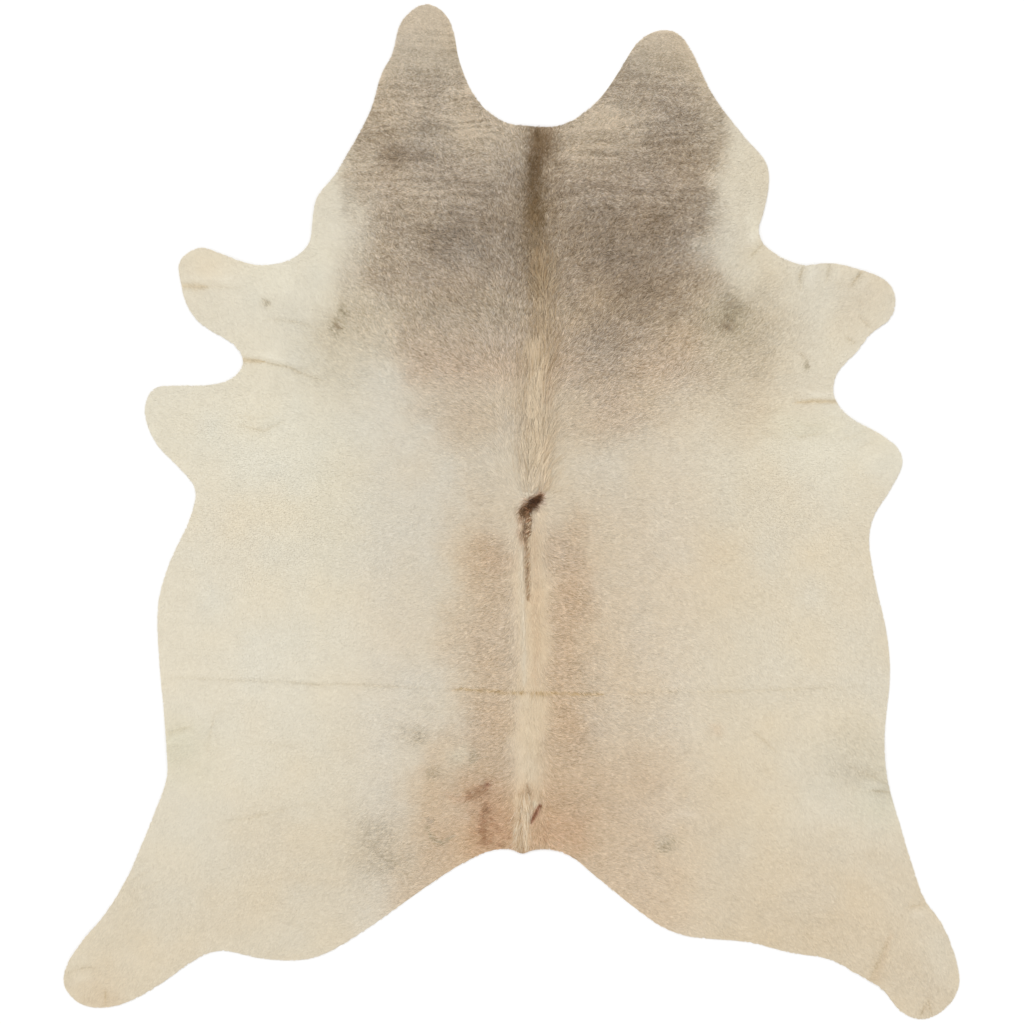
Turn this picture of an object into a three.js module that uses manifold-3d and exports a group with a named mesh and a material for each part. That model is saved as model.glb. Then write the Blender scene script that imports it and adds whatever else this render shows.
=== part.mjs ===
// A hair-on cowhide rug: one whole hide, tanned with its coat on, trimmed to its edge and lying flat.
// Millimetres, +Z up. The coat faces up, +Y runs towards the neck and the backbone runs along Y.
// The solid is the skin together with its lying coat, so its top is where the hair reaches.

import * as THREE from "three";
import { mergeVertices } from "three/addons/utils/BufferGeometryUtils.js";
import Module from "manifold-3d";

// Driving sizes
const hideLength = 2136; // from the longer neck flap to the longer hind shank
const hideWidth = 1884; // across the two hind shanks
const backboneAcross = 36; // the backbone lies this far to the right of the box's middle
const backSpread = 330; // how far out from the backbone the thick back skin reaches
const edgeStep = 15; // length of one straight step along the trimmed edge
const surfaceStep = 40; // size of one square of the lying surface
const slabMargin = 40; // how far the blank reaches past the trimmed edge
const knifeDepth = 60; // the trimming outline cuts from below the floor to above every fold

// Colour and finish of the coat as a whole
const coatColour = 0xd8cbb9;
const coatRoughness = 0.85;

// The trimmed edge, region by region, clockwise from above and starting at the left cheek.
// Each mark is measured from the middle of the hide: across (+ right) and along (+ to the neck).
const leftNeckFlap = [
  { mark: "above the cheek", across: -350, along: 743 },
  { mark: "outer side", across: -297, along: 841 },
  { mark: "outer side, narrowing", across: -272, along: 923 },
  { mark: "outer shoulder", across: -252, along: 958 },
  { mark: "outer corner", across: -230, along: 1032 },
  { mark: "tip", across: -180, along: 1068 },
  { mark: "inner corner", across: -138, along: 1047 },
  { mark: "inner shoulder", across: -119, along: 1003 },
  { mark: "inner side", across: -110, along: 952 },
  { mark: "root", across: -71, along: 865 },
];
const neckNotch = [
  { mark: "left of the floor", across: -16, along: 819 },
  { mark: "floor, left", across: 32, along: 811 },
  { mark: "floor, right", across: 96, along: 810 },
  { mark: "right of the floor", across: 144, along: 833 },
];
const rightNeckFlap = [
  { mark: "root", across: 190, along: 875 },
  { mark: "inner side", across: 227, along: 930 },
  { mark: "inner shoulder", across: 263, along: 985 },
  { mark: "inner corner", across: 303, along: 1011 },
  { mark: "outer corner", across: 346, along: 1009 },
  { mark: "outer shoulder", across: 375, along: 973 },
  { mark: "outer side", across: 423, along: 875 },
  { mark: "above the cheek", across: 492, along: 784 },
];
const rightCheek = [
  { mark: "upper corner", across: 534, along: 735 },
  { mark: "bulge", across: 541, along: 695 },
  { mark: "lower side", across: 525, along: 614 },
  { mark: "nick", across: 518, along: 596 },
  { mark: "below the nick", across: 529, along: 562 },
];
const rightForeShank = [
  { mark: "upper root", across: 604, along: 519 },
  { mark: "upper dip", across: 671, along: 522 },
  { mark: "upper side", across: 736, along: 507 },
  { mark: "upper corner of the tip", across: 791, along: 482 },
  { mark: "tip", across: 807, along: 447 },
  { mark: "lower corner of the tip", across: 796, along: 405 },
  { mark: "lower side", across: 754, along: 373 },
  { mark: "lower root", across: 723, along: 333 },
  { mark: "above the armpit", across: 684, along: 291 },
];
const rightElbow = [
  { mark: "armpit", across: 676, along: 246 },
  { mark: "below the armpit", across: 705, along: 203 },
  { mark: "upper side", across: 776, along: 162 },
  { mark: "upper corner", across: 814, along: 131 },
  { mark: "tip", across: 822, along: 102 },
  { mark: "lower side", across: 793, along: 41 },
  { mark: "root", across: 761, along: -10 },
];
const rightFlank = [
  { mark: "waist", across: 751, along: -58 },
  { mark: "below the waist", across: 761, along: -133 },
  { mark: "swell", across: 789, along: -261 },
  { mark: "fullest", across: 795, along: -345 },
  { mark: "drawn in", across: 783, along: -480 },
  { mark: "above the thigh", across: 790, along: -565 },
  { mark: "thigh", across: 817, along: -660 },
];
const rightHindShank = [
  { mark: "outer side", across: 843, along: -747 },
  { mark: "hock", across: 871, along: -821 },
  { mark: "below the hock", across: 902, along: -860 },
  { mark: "outer toe", across: 935, along: -945 },
  { mark: "outermost", across: 941, along: -992 },
  { mark: "toe corner", across: 920, along: -1036 },
  { mark: "tip", across: 868, along: -1067 },
  { mark: "inner toe", across: 818, along: -1051 },
  { mark: "inner side", across: 778, along: -1003 },
  { mark: "inner swell", across: 731, along: -975 },
  { mark: "inner root", across: 667, along: -940 },
];
const tailNotch = [
  { mark: "right buttock, outer", across: 589, along: -927 },
  { mark: "right buttock, dip", across: 495, along: -904 },
  { mark: "right buttock", across: 366, along: -891 },
  { mark: "right buttock, inner", across: 311, along: -870 },
  { mark: "right slope", across: 182, along: -772 },
  { mark: "right of the tail", across: 126, along: -726 },
  { mark: "right corner", across: 79, along: -709 },
  { mark: "tail root, right", across: 29, along: -715 },
  { mark: "tail tip", across: 20, along: -723 },
  { mark: "tail root, left", across: 7, along: -710 },
  { mark: "left corner", across: -41, along: -713 },
  { mark: "left slope", across: -110, along: -744 },
  { mark: "left slope, lower", across: -201, along: -805 },
  { mark: "left buttock, inner", across: -306, along: -879 },
  { mark: "left buttock", across: -392, along: -929 },
];
const leftHindShank = [
  { mark: "buttock, fullest", across: -444, along: -942 },
  { mark: "buttock, outer", across: -530, along: -938 },
  { mark: "inner dip", across: -605, along: -922 },
  { mark: "inner root", across: -644, along: -930 },
  { mark: "inner side", across: -778, along: -1017 },
  { mark: "inner toe", across: -852, along: -1042 },
  { mark: "tip", across: -906, along: -1034 },
  { mark: "toe corner", across: -939, along: -999 },
  { mark: "outermost", across: -938, along: -961 },
  { mark: "outer toe", across: -908, along: -910 },
  { mark: "hock", across: -849, along: -837 },
  { mark: "outer side", across: -805, along: -762 },
];
const leftFlank = [
  { mark: "thigh", across: -747, along: -625 },
  { mark: "above the thigh", across: -723, along: -555 },
  { mark: "drawn in", across: -724, along: -505 },
  { mark: "swell", across: -731, along: -411 },
  { mark: "fullest, lower", across: -740, along: -312 },
  { mark: "fullest, upper", across: -742, along: -192 },
  { mark: "below the waist", across: -717, along: -104 },
  { mark: "waist", across: -675, along: -13 },
];
const leftElbow = [
  { mark: "root", across: -664, along: 47 },
  { mark: "lower side", across: -694, along: 88 },
  { mark: "lower corner", across: -747, along: 144 },
  { mark: "tip", across: -771, along: 212 },
  { mark: "upper corner", across: -753, along: 258 },
  { mark: "upper side, outer", across: -700, along: 265 },
  { mark: "upper side", across: -631, along: 266 },
  { mark: "below the armpit", across: -583, along: 282 },
  { mark: "armpit", across: -562, along: 316 },
];
const leftForeShank = [
  { mark: "above the armpit", across: -585, along: 352 },
  { mark: "lower side", across: -648, along: 390 },
  { mark: "lower corner", across: -681, along: 432 },
  { mark: "tip", across: -695, along: 484 },
  { mark: "outer corner", across: -698, along: 526 },
  { mark: "upper corner", across: -655, along: 555 },
  { mark: "upper side", across: -613, along: 543 },
  { mark: "upper dip", across: -537, along: 518 },
  { mark: "upper root", across: -463, along: 530 },
];
const leftCheek = [
  { mark: "nick", across: -425, along: 564 },
  { mark: "lower side", across: -418, along: 612 },
  { mark: "bulge", across: -409, along: 660 },
  { mark: "upper side", across: -373, along: 704 },
];
const trimmedEdge = [
  leftNeckFlap,
  neckNotch,
  rightNeckFlap,
  rightCheek,
  rightForeShank,
  rightElbow,
  rightFlank,
  rightHindShank,
  tailNotch,
  leftHindShank,
  leftFlank,
  leftElbow,
  leftForeShank,
  leftCheek,
].flat();

// Thickness of skin and lying coat together, at stations from the neck flaps down to the hind tips
const stations = [
  { station: "neck flaps", along: 1070, onBackbone: 5.0, onSides: 4.2 },
  { station: "neck", along: 760, onBackbone: 6.6, onSides: 4.8 },
  { station: "withers", along: 420, onBackbone: 7.4, onSides: 4.4 },
  { station: "whorl", along: 30, onBackbone: 7.0, onSides: 4.0 },
  { station: "loin", along: -360, onBackbone: 6.4, onSides: 3.8 },
  { station: "rump", along: -700, onBackbone: 6.2, onSides: 4.0 },
  { station: "hind tips", along: -1070, onBackbone: 4.4, onSides: 3.6 },
];

// Places where the skin doesn't lie dead flat: a low ridge from one end to the other, so far to
// each side and so high. Everywhere else the underside lies on the floor.
const folds = [
  { fold: "storage fold, left", from: [-640, -362], to: [-120, -376], spread: 62, lift: 1.6 },
  { fold: "storage fold, middle", from: [-120, -376], to: [180, -382], spread: 62, lift: 2.2 },
  { fold: "storage fold, right", from: [180, -382], to: [690, -372], spread: 62, lift: 1.6 },
  { fold: "left armpit", from: [-500, 306], to: [-380, 268], spread: 70, lift: 4.0 },
  { fold: "right armpit", from: [610, 250], to: [520, 236], spread: 64, lift: 3.4 },
  { fold: "left cheek", from: [-395, 640], to: [-330, 560], spread: 60, lift: 3.0 },
  { fold: "right cheek", from: [505, 575], to: [450, 520], spread: 60, lift: 3.4 },
  { fold: "right fore shank, first pucker", from: [612, 500], to: [600, 430], spread: 44, lift: 3.2 },
  { fold: "right fore shank, second pucker", from: [740, 490], to: [716, 400], spread: 44, lift: 4.0 },
  { fold: "left fore shank, pucker", from: [-590, 520], to: [-570, 440], spread: 48, lift: 3.4 },
  { fold: "left elbow, soft bulge", from: [-600, 190], to: [-500, 180], spread: 72, lift: 3.0 },
  { fold: "right elbow, soft bulge", from: [600, 160], to: [700, 140], spread: 72, lift: 3.0 },
  { fold: "left flank, pull", from: [-700, -500], to: [-600, -450], spread: 76, lift: 4.2 },
  { fold: "right flank, pull", from: [760, -520], to: [680, -480], spread: 76, lift: 4.2 },
  { fold: "left thigh, drag", from: [-620, -660], to: [-420, -620], spread: 64, lift: 3.0 },
  { fold: "left hind shank, pucker", from: [-880, -930], to: [-820, -900], spread: 56, lift: 3.6 },
  { fold: "right hind shank, pucker", from: [800, -900], to: [778, -960], spread: 56, lift: 4.0 },
];

// A value that leaves 0 and arrives at 1 without a corner
function ease(share) {
  const held = THREE.MathUtils.clamp(share, 0, 1);
  return held * held * (3 - 2 * held);
}

// Skin and coat at one place: between two stations along the hide, thinning out from the backbone
function thicknessAt(across, along) {
  const next = Math.max(1, stations.findIndex((row, index) => index > 0 && row.along <= along));
  const above = stations[next - 1];
  const below = stations[next];
  const share = ease((above.along - along) / (above.along - below.along));
  const onBackbone = THREE.MathUtils.lerp(above.onBackbone, below.onBackbone, share);
  const onSides = THREE.MathUtils.lerp(above.onSides, below.onSides, share);
  const outward = (across - backboneAcross) / backSpread;
  return THREE.MathUtils.lerp(onSides, onBackbone, Math.exp(-outward * outward));
}

// How high one fold holds the skin off the floor: full on its line, nothing past its spread
function foldLift(fold, place) {
  const from = new THREE.Vector2(...fold.from);
  const run = new THREE.Vector2(...fold.to).sub(from);
  const reached = THREE.MathUtils.clamp(place.clone().sub(from).dot(run) / run.lengthSq(), 0, 1);
  const away = place.distanceTo(from.addScaledVector(run, reached)) / fold.spread;
  return away < 1 ? fold.lift * (1 - away * away) ** 2 : 0;
}

// The highest of the folds that reach a place
function liftAt(across, along) {
  const place = new THREE.Vector2(across, along);
  return Math.max(...folds.map((fold) => foldLift(fold, place)));
}

// The smooth closed curve through the marks, in even steps
function outline() {
  const marks = trimmedEdge.map(({ across, along }) => new THREE.Vector3(across, along, 0));
  const curve = new THREE.CatmullRomCurve3(marks, true, "centripetal");
  const steps = Math.round(curve.getLength() / edgeStep);
  const ring = curve.getSpacedPoints(steps).slice(0, steps);
  return new THREE.Shape(ring.map(({ x, y }) => new THREE.Vector2(x, y)));
}

// The trimming knife: the outline carried straight down through everything
function trimmingPrism() {
  const prism = new THREE.ExtrudeGeometry(outline(), { depth: knifeDepth, bevelEnabled: false });
  return prism.translate(0, 0, -knifeDepth / 2);
}

// The untrimmed blank: a wide sheet whose underside follows the folds and whose top adds the coat
function lyingBlank() {
  const width = hideWidth + 2 * slabMargin;
  const length = hideLength + 2 * slabMargin;
  const columns = Math.round(width / surfaceStep);
  const rows = Math.round(length / surfaceStep);
  const blank = new THREE.BoxGeometry(width, length, 1, columns, rows, 1);
  const corners = blank.attributes.position;
  for (let i = 0; i < corners.count; i += 1) {
    const across = corners.getX(i);
    const along = corners.getY(i);
    const underside = liftAt(across, along);
    const isTop = corners.getZ(i) > 0;
    corners.setZ(i, isTop ? underside + thicknessAt(across, along) : underside);
  }
  return blank;
}

// Joining and cutting of closed meshes
const wasm = await Module();
wasm.setup();

function toSolid(geometry) {
  geometry.deleteAttribute("normal");
  geometry.deleteAttribute("uv");
  const merged = mergeVertices(geometry);
  return new wasm.Manifold(
    new wasm.Mesh({
      numProp: 3,
      vertProperties: new Float32Array(merged.attributes.position.array),
      triVerts: new Uint32Array(merged.index.array),
    }),
  );
}

function toGeometry(solid) {
  const mesh = solid.getMesh();
  const geometry = new THREE.BufferGeometry();
  geometry.setAttribute("position", new THREE.BufferAttribute(mesh.vertProperties, mesh.numProp));
  geometry.setIndex(new THREE.BufferAttribute(mesh.triVerts, 1));
  geometry.computeVertexNormals();
  return geometry;
}

// The hide: the blank trimmed by the outline, with the origin under the middle of its box
function cowhide() {
  const geometry = toGeometry(toSolid(lyingBlank()).intersect(toSolid(trimmingPrism())));
  geometry.computeBoundingBox();
  const box = geometry.boundingBox;
  const middle = box.getCenter(new THREE.Vector3());
  geometry.translate(-middle.x, -middle.y, -box.min.z);
  const coat = new THREE.MeshStandardMaterial({
    color: coatColour,
    roughness: coatRoughness,
    metalness: 0,
  });
  const mesh = new THREE.Mesh(geometry, coat);
  mesh.name = "hide";
  return mesh;
}

const rug = new THREE.Group();
rug.add(cowhide());

export default rug;
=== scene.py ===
"""A whole hair-on cowhide laid flat as a floor rug, coat side up.

The skin is one closed sheet with its suede flesh side down. The coat is made of flat tapered
tufts rooted in the skin and lying the way the hair grows, and the longer hair of the backbone
lies over them as single strands. Places in the tables are in millimetres from the middle of the
hide: across (+ to the right) and along (+ to the neck). Meshes are in metres.
"""

import logging
import math
from dataclasses import dataclass, field
from enum import Enum, IntEnum

import bpy
import numpy as np
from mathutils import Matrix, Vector
from mathutils.bvhtree import BVHTree
from mathutils.geometry import delaunay_2d_cdt
from mathutils.kdtree import KDTree


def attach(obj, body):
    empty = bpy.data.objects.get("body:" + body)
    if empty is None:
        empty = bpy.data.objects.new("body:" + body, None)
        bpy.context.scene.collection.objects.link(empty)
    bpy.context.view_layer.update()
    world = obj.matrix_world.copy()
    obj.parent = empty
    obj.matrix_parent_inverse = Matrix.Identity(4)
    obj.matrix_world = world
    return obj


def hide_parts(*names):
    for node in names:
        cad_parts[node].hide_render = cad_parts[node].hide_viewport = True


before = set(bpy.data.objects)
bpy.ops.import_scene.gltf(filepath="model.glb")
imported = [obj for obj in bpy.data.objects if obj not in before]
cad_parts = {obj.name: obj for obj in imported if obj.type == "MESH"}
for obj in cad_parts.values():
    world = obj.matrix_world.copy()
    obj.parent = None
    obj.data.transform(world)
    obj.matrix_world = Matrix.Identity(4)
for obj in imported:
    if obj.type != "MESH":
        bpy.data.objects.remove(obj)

Array = np.ndarray
Rng = np.random.Generator
Pair = tuple[float, float]
Triple = tuple[float, float, float]
Quad = tuple[float, float, float, float]

MM = 0.001
HIDE_NODE = "hide"
BODY = "root"
PICTURE_PIXELS = 1024
PIXEL_MM = 2.1
SPINE_ACROSS = 36.0
SEED = 20
COAT_LAYER = "coat"
STRAND_MAP = "strand"
BAKE_MAP = "OFBake"
MAP_MARGIN = 0.005
# Cells that a place keeps from the end of a map, so that there is always a next one
LAST_CELL = 1.001
# Least upward share of a normal on the top of the solid
UPWARD = 0.5
# Keeps a division away from zero
TINY = 1e-9
# Distance at which two points of the skin would be one (m)
SAME_PLACE = 1e-7

log = logging.getLogger("cowhide")


class Tone(Enum):
    """Hair colours of this hide in soft daylight, as sRGB from 0 to 255."""

    CHALK = (222, 215, 198)
    PALE = (231, 225, 208)
    CREAM = (221, 213, 196)
    OYSTER = (214, 203, 183)
    IVORY = (222, 209, 186)
    BLUSH = (222, 201, 171)
    LINEN = (213, 202, 182)
    BUFF = (213, 198, 174)
    FLAX = (208, 192, 168)
    WHEAT = (228, 209, 179)
    OAT = (204, 189, 166)
    TAN = (204, 184, 157)
    SAND = (203, 184, 154)
    FAWN = (194, 172, 144)
    ROSE = (194, 165, 133)
    CLAY = (188, 154, 121)
    RUST = (165, 122, 90)
    SCAR = (122, 78, 54)
    HONEY = (176, 148, 112)
    OCHRE = (180, 152, 108)
    ASH = (196, 187, 168)
    DRAB = (184, 170, 148)
    HAZEL = (190, 170, 146)
    TAUPE = (171, 156, 135)
    MOLE = (163, 147, 127)
    DUN = (153, 138, 119)
    SLATE = (137, 120, 99)
    OLIVE = (134, 114, 86)
    SEPIA = (128, 98, 68)
    PEAT = (112, 86, 58)
    LOAM = (100, 79, 52)
    UMBER = (82, 54, 28)
    JET = (46, 26, 12)
    SMOKE = (154, 141, 116)
    SAGE = (209, 203, 182)
    SUEDE = (205, 190, 164)
    SUEDE_NAP = (186, 169, 141)
    RAW_EDGE = (214, 204, 184)
    PAPER = (243, 243, 243)

    @property
    def srgb(self) -> Array:
        """The tone as three shares from 0 to 1."""
        return np.array(self.value, float) / 255

    @property
    def linear(self) -> Quad:
        """The tone as a shader colour."""
        return (*to_linear(self.srgb), 1.0)


def to_linear(colours: Array) -> Array:
    """sRGB shares as linear light.

    Args:
        colours: Any array of sRGB shares.

    Returns:
        The same array in linear light.
    """
    held = np.clip(colours, 0, 1)
    return np.where(held <= 0.04045, held / 12.92, ((held + 0.055) / 1.055) ** 2.4)


def ease(share: Array) -> Array:
    """A value that leaves 0 and arrives at 1 without a corner.

    Args:
        share: Position on the way, clipped to 0 and 1.

    Returns:
        The eased share.
    """
    held = np.clip(share, 0, 1)
    return held * held * (3 - 2 * held)


def rising(places: Array, start: Pair) -> Array:
    """0 up to a place and 1 beyond it, where start is the place and the length of the change."""
    return ease((places - start[0]) / start[1])


def bell(away: Array) -> Array:
    """1 in the middle, dying out on both sides."""
    return np.exp(-(away**2))


def between(at: Array, marks: Array, rows: Array) -> Array:
    """Rows of values carried over to the places between them.

    Args:
        at: The places.
        marks: Where each row stands, in rising or in falling order.
        rows: One row of values for each mark.

    Returns:
        One row for each place.
    """
    order = np.argsort(marks, kind="stable")
    marks, rows = np.array(marks)[order], np.array(rows)[order]
    return np.stack([np.interp(at, marks, column) for column in rows.T], axis=1)


@dataclass(frozen=True)
class Drift:
    """Smooth seeded noise over the plan of the hide, about -1 to 1.

    Attributes:
        seed: Which noise it is.
        step: Size of one bump along the hide (mm).
        stretch: How many times longer a bump is across the hide.
        octaves: How many layers it has, each of half the size and strength of the one before.
        cells: How many bumps it has each way before it repeats.
        shift: How many bumps its own corner lies away from the middle of the hide.
    """

    seed: int
    step: float
    stretch: float = 1.0
    octaves: int = 2
    cells: int = 256
    shift: float = 1000.0

    def at(self, across: Array, along: Array) -> Array:
        """The noise at places.

        Args:
            across: Places across (mm).
            along: Places along (mm).

        Returns:
            One value for each place.
        """
        rng = np.random.default_rng(SEED + self.seed)
        total = np.zeros_like(across)
        for octave in range(self.octaves):
            table = rng.uniform(-1, 1, (self.cells, self.cells))
            size = self.step / 2**octave
            column, row = across / (size * self.stretch) + self.shift, along / size + self.shift
            left, low = np.floor(column).astype(int), np.floor(row).astype(int)
            u, v = ease(column - left), ease(row - low)
            left, low = left % self.cells, low % self.cells
            right, high = (left + 1) % self.cells, (low + 1) % self.cells
            lower = table[low, left] * (1 - u) + table[low, right] * u
            upper = table[high, left] * (1 - u) + table[high, right] * u
            total += (lower * (1 - v) + upper * v) / 2**octave
        return total


# The noises, each with its own seed and step
EDGE_SWAY = (Drift(1, 70, octaves=3), Drift(2, 70, octaves=3))
EDGE_FRAY = (Drift(6, 15), Drift(7, 15))
PATCHINESS = Drift(8, 7)
CLOUDS = Drift(3, 26, octaves=3)
WARMTH = Drift(4, 90)
SHADE_CHANGES = Drift(9, 24)
WRINKLE_LINES = Drift(5, 6.5, stretch=14)
WRINKLE_BENDS = Drift(10, 60)
WAVES = Drift(11, 60)
CREASE_SWAY = (Drift(12, 45), Drift(13, 45))
LIE_CHANGES = Drift(21, 50)
CURLS = Drift(22, 11, stretch=1.4)
CLUMPS = Drift(31, 4.5)


def near_path(across: Array, along: Array, path: tuple) -> tuple[Array, Array]:
    """How far places lie from a line of straight stretches.

    Args:
        across: Places across (mm).
        along: Places along (mm).
        path: The line's points.

    Returns:
        The distance, and the share of the line's length at the nearest point.
    """
    marks = np.array(path, float)
    lengths = np.hypot(*(marks[1:] - marks[:-1]).T)
    starts = np.r_[0, np.cumsum(lengths)]
    nearest = np.full(across.shape, np.inf)
    share = np.zeros(across.shape)
    for mark, run, length, start in zip(marks[:-1], marks[1:] - marks[:-1], lengths, starts):
        reached = np.clip(((across - mark[0]) * run[0] + (along - mark[1]) * run[1]) / length**2, 0, 1)
        away = np.hypot(across - mark[0] - reached * run[0], along - mark[1] - reached * run[1])
        closer = away < nearest
        nearest = np.where(closer, away, nearest)
        share = np.where(closer, (start + reached * length) / starts[-1], share)
    return nearest, share


class OneTone:
    """An area that has the same tone all over.

    Attributes:
        tone: The tone.
    """

    tone: Tone

    def tint(self, along: Array) -> Array:
        """The area's tone at places along the hide."""
        return np.broadcast_to(self.tone.srgb, (len(along), 3))


@dataclass(frozen=True)
class Patch(OneTone):
    """A soft-edged area of another tone.

    Attributes:
        name: Where it is on the hide.
        tone: Its tone.
        at: Its middle (mm).
        reach: Half its width and half its length, where it has half its depth (mm).
        depth: How far the coat goes over to the tone in the middle.
        turn: How far it is turned, counter-clockwise (degrees).
        edge: How crisp the edge is; 2 is soft.
        ragged: How unevenly the coat takes the tone.
        reaches: How many of its longer reach it is worked out for.
    """

    name: str
    tone: Tone
    at: Pair
    reach: Pair
    depth: float = 0.7
    turn: float = 0.0
    edge: float = 2.0
    ragged: float = 0.0
    reaches: float = 2.4

    @property
    def size(self) -> float:
        """Its smaller reach (mm)."""
        return min(self.reach)

    def cover(self, across: Array, along: Array) -> Array:
        """How far the coat goes over to the patch's tone.

        Args:
            across: Places across (mm).
            along: Places along (mm).

        Returns:
            A share for each place, from 0 to the patch's depth.
        """
        turn = math.radians(self.turn)
        x, y = across - self.at[0], along - self.at[1]
        u = (x * math.cos(turn) + y * math.sin(turn)) / self.reach[0]
        v = (y * math.cos(turn) - x * math.sin(turn)) / self.reach[1]
        return self.depth * 0.5 ** (np.hypot(u, v) ** self.edge)

    def box(self) -> Quad:
        """The lowest and highest place across, then along, that the patch reaches."""
        far = max(self.reach) * self.reaches
        return self.at[0] - far, self.at[0] + far, self.at[1] - far, self.at[1] + far


@dataclass(frozen=True)
class Stripe(OneTone):
    """A soft-edged line of another tone.

    Attributes:
        name: Where it is on the hide.
        tone: Its tone.
        path: Its points from one end to the other (mm).
        halves: Its half width at the first end, in the middle and at the last end (mm).
        depth: How far the coat goes over to the tone on the line.
        edge: How crisp the edge is; 2 is soft.
        ragged: How unevenly the coat takes the tone.
        reaches: How many of its largest half width it is worked out for.
    """

    name: str
    tone: Tone
    path: tuple
    halves: Triple
    depth: float = 0.7
    edge: float = 2.0
    ragged: float = 0.0
    reaches: float = 3.0

    @property
    def size(self) -> float:
        """Its smallest half width (mm)."""
        return min(self.halves)

    def cover(self, across: Array, along: Array) -> Array:
        """How far the coat goes over to the stripe's tone.

        Args:
            across: Places across (mm).
            along: Places along (mm).

        Returns:
            A share for each place, from 0 to the stripe's depth.
        """
        away, share = near_path(across, along, self.path)
        half = np.interp(share, (0, 0.5, 1), self.halves)
        return self.depth * 0.5 ** ((away / half) ** self.edge)

    def box(self) -> Quad:
        """The area that the stripe reaches.

        Returns:
            The lowest and highest place across, and then along (mm).
        """
        marks = np.array(self.path, float)
        far = max(self.halves) * self.reaches
        low, high = marks.min(0) - far, marks.max(0) + far
        return low[0], high[0], low[1], high[1]


@dataclass(frozen=True)
class Girth:
    """The darker part of the back at one place along the hide.

    Attributes:
        along: The place (mm).
        left: Its left edge (mm).
        right: Its right edge (mm).
        fades: How far its left and its right edge take to fade out (mm).
        tone: Its tone.
    """

    along: float
    left: float
    right: float
    fades: Pair
    tone: Tone


@dataclass(frozen=True)
class Saddle:
    """The darker neck and back, whose width and tone change along the hide.

    Attributes:
        girths: Its edges and tone at places along the hide.
        depth: How far the coat goes over to its tone.
        size: Stands for its reach where the edge's wandering is worked out (mm).
        ragged: How unevenly the coat takes its tone.
    """

    girths: tuple[Girth, ...]
    depth: float = 0.97
    size: float = 60.0
    ragged: float = 0.0

    def at(self, along: Array, rows: list) -> Array:
        """Rows of values of the girths, carried over to the places between them."""
        return between(along, [girth.along for girth in self.girths], rows)

    def cover(self, across: Array, along: Array) -> Array:
        """How far the coat goes over to the saddle's tone.

        Args:
            across: Places across (mm).
            along: Places along (mm).

        Returns:
            A share for each place, from 0 to the saddle's depth.
        """
        rows = [(girth.left, girth.right, *girth.fades) for girth in self.girths]
        left, right, fade_left, fade_right = self.at(along, rows).T
        inside_left = ease(0.5 + (across - left) / fade_left)
        return self.depth * inside_left * ease(0.5 + (right - across) / fade_right)

    def box(self) -> Quad:
        """Places without an end: the saddle runs from the neck to the tail."""
        return -math.inf, math.inf, -math.inf, math.inf

    def tint(self, along: Array) -> Array:
        """The saddle's tone at places along the hide."""
        return self.at(along, [girth.tone.srgb for girth in self.girths])


SIDE_TONES = (
    (1070, Tone.OAT),
    (860, Tone.OAT),
    (760, Tone.CREAM),
    (330, Tone.CREAM),
    (160, Tone.CHALK),
    (-40, Tone.CREAM),
    (-560, Tone.CREAM),
    (-720, Tone.OYSTER),
    (-880, Tone.LINEN),
    (-1070, Tone.LINEN),
)

GIRTHS = (
    Girth(1010, -257, 348, (60, 60), Tone.OAT),
    Girth(940, -258, 375, (60, 60), Tone.DRAB),
    Girth(890, -268, 408, (60, 60), Tone.TAUPE),
    Girth(790, -340, 470, (90, 70), Tone.TAUPE),
    Girth(700, -314, 438, (76, 90), Tone.MOLE),
    Girth(640, -310, 430, (110, 95), Tone.DUN),
    Girth(550, -308, 418, (140, 110), Tone.DUN),
    Girth(480, -318, 432, (150, 130), Tone.MOLE),
    Girth(420, -325, 470, (160, 150), Tone.TAUPE),
    Girth(300, -226, 450, (130, 160), Tone.HAZEL),
    Girth(240, -200, 360, (120, 160), Tone.OAT),
    Girth(180, -172, 310, (110, 150), Tone.OAT),
    Girth(100, -132, 250, (100, 150), Tone.LINEN),
    Girth(-10, -125, 270, (100, 150), Tone.BUFF),
    Girth(-300, -138, 290, (90, 160), Tone.FLAX),
    Girth(-450, -150, 310, (100, 160), Tone.FLAX),
    Girth(-560, -205, 350, (110, 160), Tone.TAN),
    Girth(-780, -240, 340, (110, 160), Tone.TAN),
)

BROAD_AREAS = (
    Patch("right side", Tone.OYSTER, (600, -250), (340, 330), 0.9, edge=5),
    Patch("right of the barrel", Tone.BUFF, (330, -180), (150, 420), 0.65, edge=3),
    Patch("left of the barrel", Tone.LINEN, (-190, -200), (110, 420), 0.55, edge=3),
    Patch("right hind quarter", Tone.FLAX, (560, -880), (340, 190), 0.8, edge=3),
    Patch("right thigh", Tone.FLAX, (400, -710), (90, 60), 0.5),
    Patch("right thigh, upper", Tone.LINEN, (550, -550), (90, 70), 0.5),
    Patch("left buttock", Tone.LINEN, (-430, -780), (190, 130), 0.6),
    Patch("left loin", Tone.LINEN, (-330, -530), (150, 110), 0.5),
    Patch("right loin", Tone.BUFF, (450, -610), (120, 120), 0.6),
    Saddle(GIRTHS),
    Stripe("back, left strip", Tone.FAWN, ((-38, -90), (-38, -230), (-52, -420), (-52, -570)),
           (46, 46, 42), 0.62, 3.4),
    Stripe("back, right strip", Tone.FAWN, ((116, -80), (112, -300), (116, -620)), (50, 62, 60), 0.85, 2.6),
)

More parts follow.
